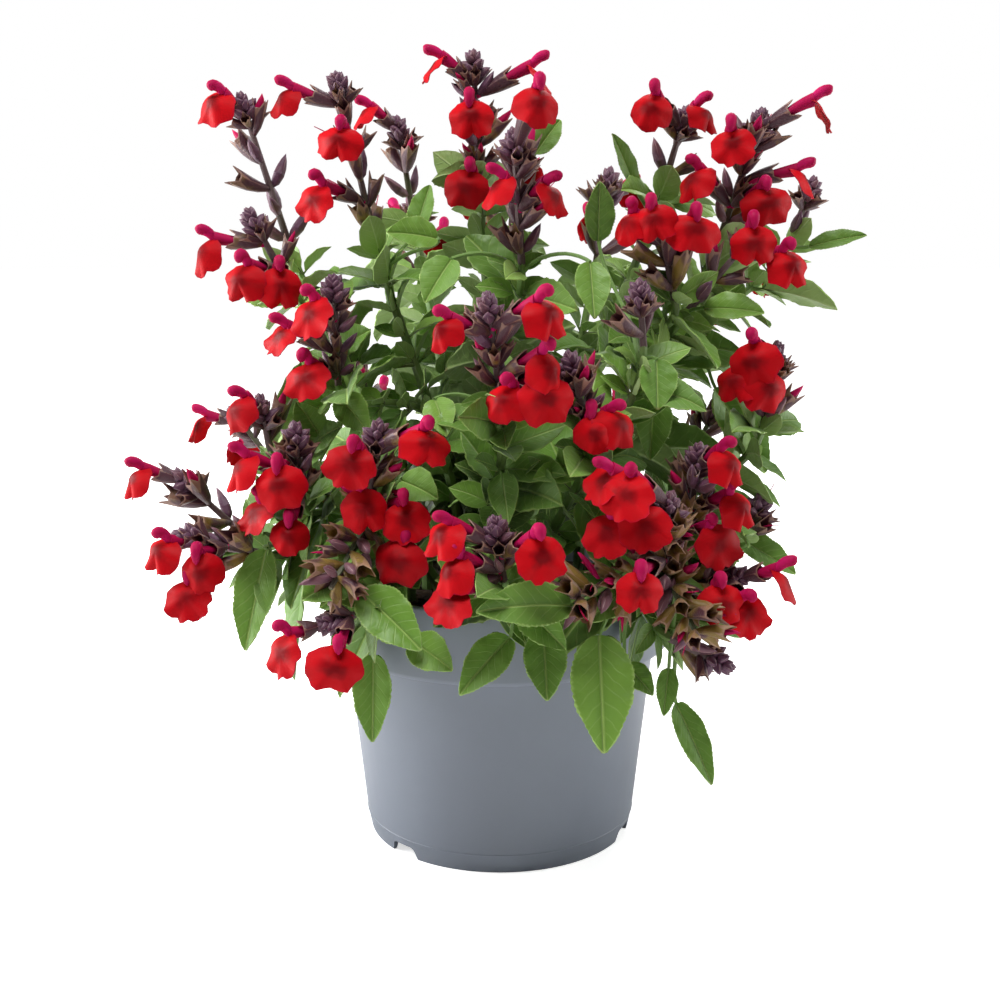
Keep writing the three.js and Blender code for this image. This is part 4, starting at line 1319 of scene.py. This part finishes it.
def flower(spray, row, pick):
    """The copies that make one open flower: its stalk, calyx, tube, hood and lip.

    On a flower that faces sideways the hood reaches out straighter and the lip hangs steeper.
    """
    x, y, z, turn = row
    lip, face = Vector((x, y, z)), face_of(turn)
    side = UP.cross(face)
    mouth = mouth_of(*row)
    root = spray["foot"].lerp(spray["tip"], root_share(spray, row))
    heading = headed(root, mouth)
    age = pick.random()
    throat = route(root, heading, mouth, (heading + face).normalized(), 8, side)
    cup = route(root.lerp(mouth, 0.06), heading, root.lerp(mouth, 0.68), heading, 3, side)
    sideways = min(abs(face.x) * 1.1, 1)
    rise = min(pick.uniform(*HOOD_RISE), cad_box[1][2] / MM - z - HOOD_RADIUS - 0.2)
    drop = pick.uniform(*HOOD_DROP) * (1 - sideways) + 0.4
    back = set_back(x, y, z)
    crown = lip + UP * rise + face * (1.6 * sideways - 0.6 - back)
    hood_tip = lip + UP * (rise - drop) + face * (1.3 + 1.2 * sideways - back)
    tip_heading = (face * (0.3 + sideways) - UP * (1 - sideways)).normalized()
    hood_route = route(mouth - face * 0.3, (UP * 1.2 + face).normalized(), crown, face, 5, side)
    hood_route += route(crown, face, hood_tip, tip_heading, 5, side)[1:]
    nod = pick.uniform(-14, 4) - 24 * sideways ** 4
    sizes = pick.uniform(0.78, 1.0), pick.uniform(0.8, 0.98), 1 - 0.4 * sideways ** 4
    stub = [(root, heading, side), (root.lerp(mouth, 0.2), heading, side)]
    return [
        bent_copy(stalk_rod, stub, (0.8, 0.9), 0.3),
        bent_copy(fine_calyx, cup, (CALYX_RADIUS, CALYX_RADIUS), 0.6 * age ** 2),
        bent_copy(tube, throat, (TUBE_RADIUS * 0.75, TUBE_RADIUS * 0.9), 0.6 * age),
        bent_copy(hood, hood_route, (HOOD_RADIUS * 1.1, HOOD_RADIUS), 0.5 * age),
        placed_lip(
            pick.choice(lips), lip, side, face, sizes, pick.uniform(-14, 14), nod, 0.9 * pick.random() ** 1.5,
        ),
    ]


def sprout(heading, across, turn, lean, scatter, pick):
    """A way out from a stalk, the way of what grows there, which leans out from the stalk, and its side."""
    out = turned(across, heading, turn + pick.uniform(-scatter[0], scatter[0]))
    along = leaning(heading, out, lean + pick.uniform(-scatter[1], scatter[1]))
    return out, along, heading.cross(out).normalized()


def whorl(centre, heading, across, count, turn, reach, lean, pick, age):
    """Calyces around a stalk, with some buds. A few hold a closed flower or the style of a dropped one."""
    copies = []
    for k in range(count):
        out, along, side = sprout(heading, across, turn + k * 360 / count, lean, (25, 16), pick)
        size = reach * pick.uniform(0.8, 1.1)
        tip = centre + along * size + heading * size * 0.1
        start_heading, end_heading = (along + out * 0.3).normalized(), (along + heading * 0.3).normalized()
        stations = route(centre, start_heading, tip, end_heading, 4, side)
        tint = min(max(age + pick.uniform(-0.25, 0.25), 0), 1)
        holds = pick.random()
        if holds > BUDS_ABOVE:
            copies.append(bent_copy(bud, stations, (size * BUD_PLUMPNESS,) * 2, tint))
            continue
        copies.append(bent_copy(calyx, stations, (size * CALYX_PLUMPNESS,) * 2, tint))
        if holds < PETAL_BUDS_BELOW:
            shoot = [(centre.lerp(tip, 0.3), along, out), (tip + along * size * 0.25, along, out)]
            copies.append(bent_copy(petal_bud, shoot, (size * PETAL_BUD_PLUMPNESS,) * 2, pick.random()))
        elif holds < STYLES_BELOW:
            thread = [(centre.lerp(tip, 0.4), along, side), (tip + along * size * 0.5, along, side)]
            copies.append(bent_copy(style, thread, (STYLE_RADIUS,) * 2, pick.random()))
    return copies


# A head's tiers: how far behind the tip, how many, their length, how far they lean out, their kind and
# their plumpness
HEAD_TIERS = [
    (12.5, 4, 8.5, 50, calyx, 0.22), (9.6, 4, 6.8, 54, bud, 0.24), (7.2, 4, 5.8, 50, bud, 0.28),
    (5.2, 4, 4.8, 40, bud, 0.3), (3.9, 3, 3.8, 22, bud, 0.34), (2.8, 1, 2.7, 0, bud, 0.38),
]


def head_of_buds(spray, across, pick):
    """The tight head of closed buds at a spray's tip."""
    copies = []
    heading = spray["heading"]
    for level, (behind, count, reach, lean, kind, plump) in enumerate(HEAD_TIERS):
        centre = spray["tip"] - heading * behind
        for k in range(count):
            _, along, side = sprout(heading, across, level * 45 + k * 360 / count, lean, (22, 12), pick)
            size = reach * pick.uniform(0.85, 1.05)
            stations = [(centre, along, side), (centre + along * size, along, side)]
            copies.append(bent_copy(kind, stations, (size * plump,) * 2, pick.uniform(0, 0.55)))
    return copies


# The space about the middle of a lip that calyces stay out of: from how far behind to how far ahead, and its
# radius
LIP_BEHIND = -2
LIP_AHEAD = 6
LIP_REACH = 8


def clear_of_lips(copies, flowers):
    """The calyces that don't poke through the lip of an open flower. The others are taken away."""
    kept = []
    for made in copies:
        pokes = False
        for x, y, z, turn in flowers:
            ways = [vertex.co / MM - Vector((x, y, z)) for vertex in made.data.vertices]
            pokes |= any(
                LIP_BEHIND < way.dot(face_of(turn)) < LIP_AHEAD and way.length < LIP_REACH for way in ways
            )
        if pokes:
            bpy.data.objects.remove(made)
        else:
            kept.append(made)
    return kept


# Spent stalks, on which only the dry calyces are left: the spray that bears them, their foot and their tip
SPENT_STALKS = [
    (25, (50, -68, 111), (23, -80, 104)),
    (25, (50, -69, 109), (59, -80, 92)),
    (24, (59, -52, 118), (48, -70, 122)),
    (9, (-40, -58, 124), (-50, -80, 107)),
]


def spent_stalk(foot, tip, flowers, pick):
    """The copies that make one spent stalk."""
    aim, reach = headed(foot, tip), (tip - foot).length
    cross = aim.cross(Vector((0, 1, 0.3))).normalized()
    copies = [bent_copy(stalk_rod, [(foot, aim, cross), (tip, aim, cross)], (1, 0.7), 0.9)]
    for step in range(1, int(reach / SPENT_SPACING) + 1):
        centre = foot + aim * step * SPENT_SPACING
        dry = whorl(centre, aim, cross, 4, step * 45, CALYX_LENGTH * 0.9, 62, pick, 1.0)
        copies += clear_of_lips(dry, flowers)
    return copies


for k, spray in enumerate(sprays):
    number = f"{k + 1:02d}"
    pick = random.Random(2000 + k)
    foot, tip, heading, flowers = (spray[key] for key in ("foot", "tip", "heading", "flowers"))
    length = (tip - foot).length
    quarter = math.degrees(draws(500 + k)() * math.pi / 2)
    across = turned(heading.cross(Vector((0, 1, 0.2))).normalized(), heading, quarter)
    pieces = [bent_copy(
        stalk_rod, [(foot - heading * GAP, heading, across), (tip - heading * 3, heading, across)],
        (STALK_RADIUS, STALK_RADIUS * 0.7), pick.uniform(0, 0.6),
    )]
    roots = [root_share(spray, row) * length for row in flowers]
    gone_over = GONE_OVER.get(k, 0)
    count, step_turn = (4, 45) if k in CROWDED else (2, 90)
    level, at = 0, LOW_WHORL if gone_over > 0.5 else FIRST_WHORL
    while at <= length - HEAD_LENGTH - FIRST_WHORL:
        busy = any(abs(root - at) < 4 for root in roots)
        size = CALYX_LENGTH * (0.8 if busy else 1.05)
        age = gone_over + 0.55 - 0.55 * at / length
        tier = whorl(foot + heading * at, heading, across, count, level * step_turn, size, 46, pick, age)
        pieces += clear_of_lips(tier, flowers)
        at, level = at + CROWDED.get(k, PAIR_SPACING), level + 1
    pieces += head_of_buds(spray, across, pick)
    for owner, spent_foot, spent_tip in SPENT_STALKS:
        if owner == k:
            pieces += spent_stalk(Vector(spent_foot), Vector(spent_tip), flowers, pick)
    for row in flowers:
        pieces += flower(spray, row, pick)
    made = joined("flowering_spray_" + number, pieces)
    kept_inside(made)
    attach(made, "root")
    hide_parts("flower_spray_" + number)

for master in masters:
    bpy.data.objects.remove(master)
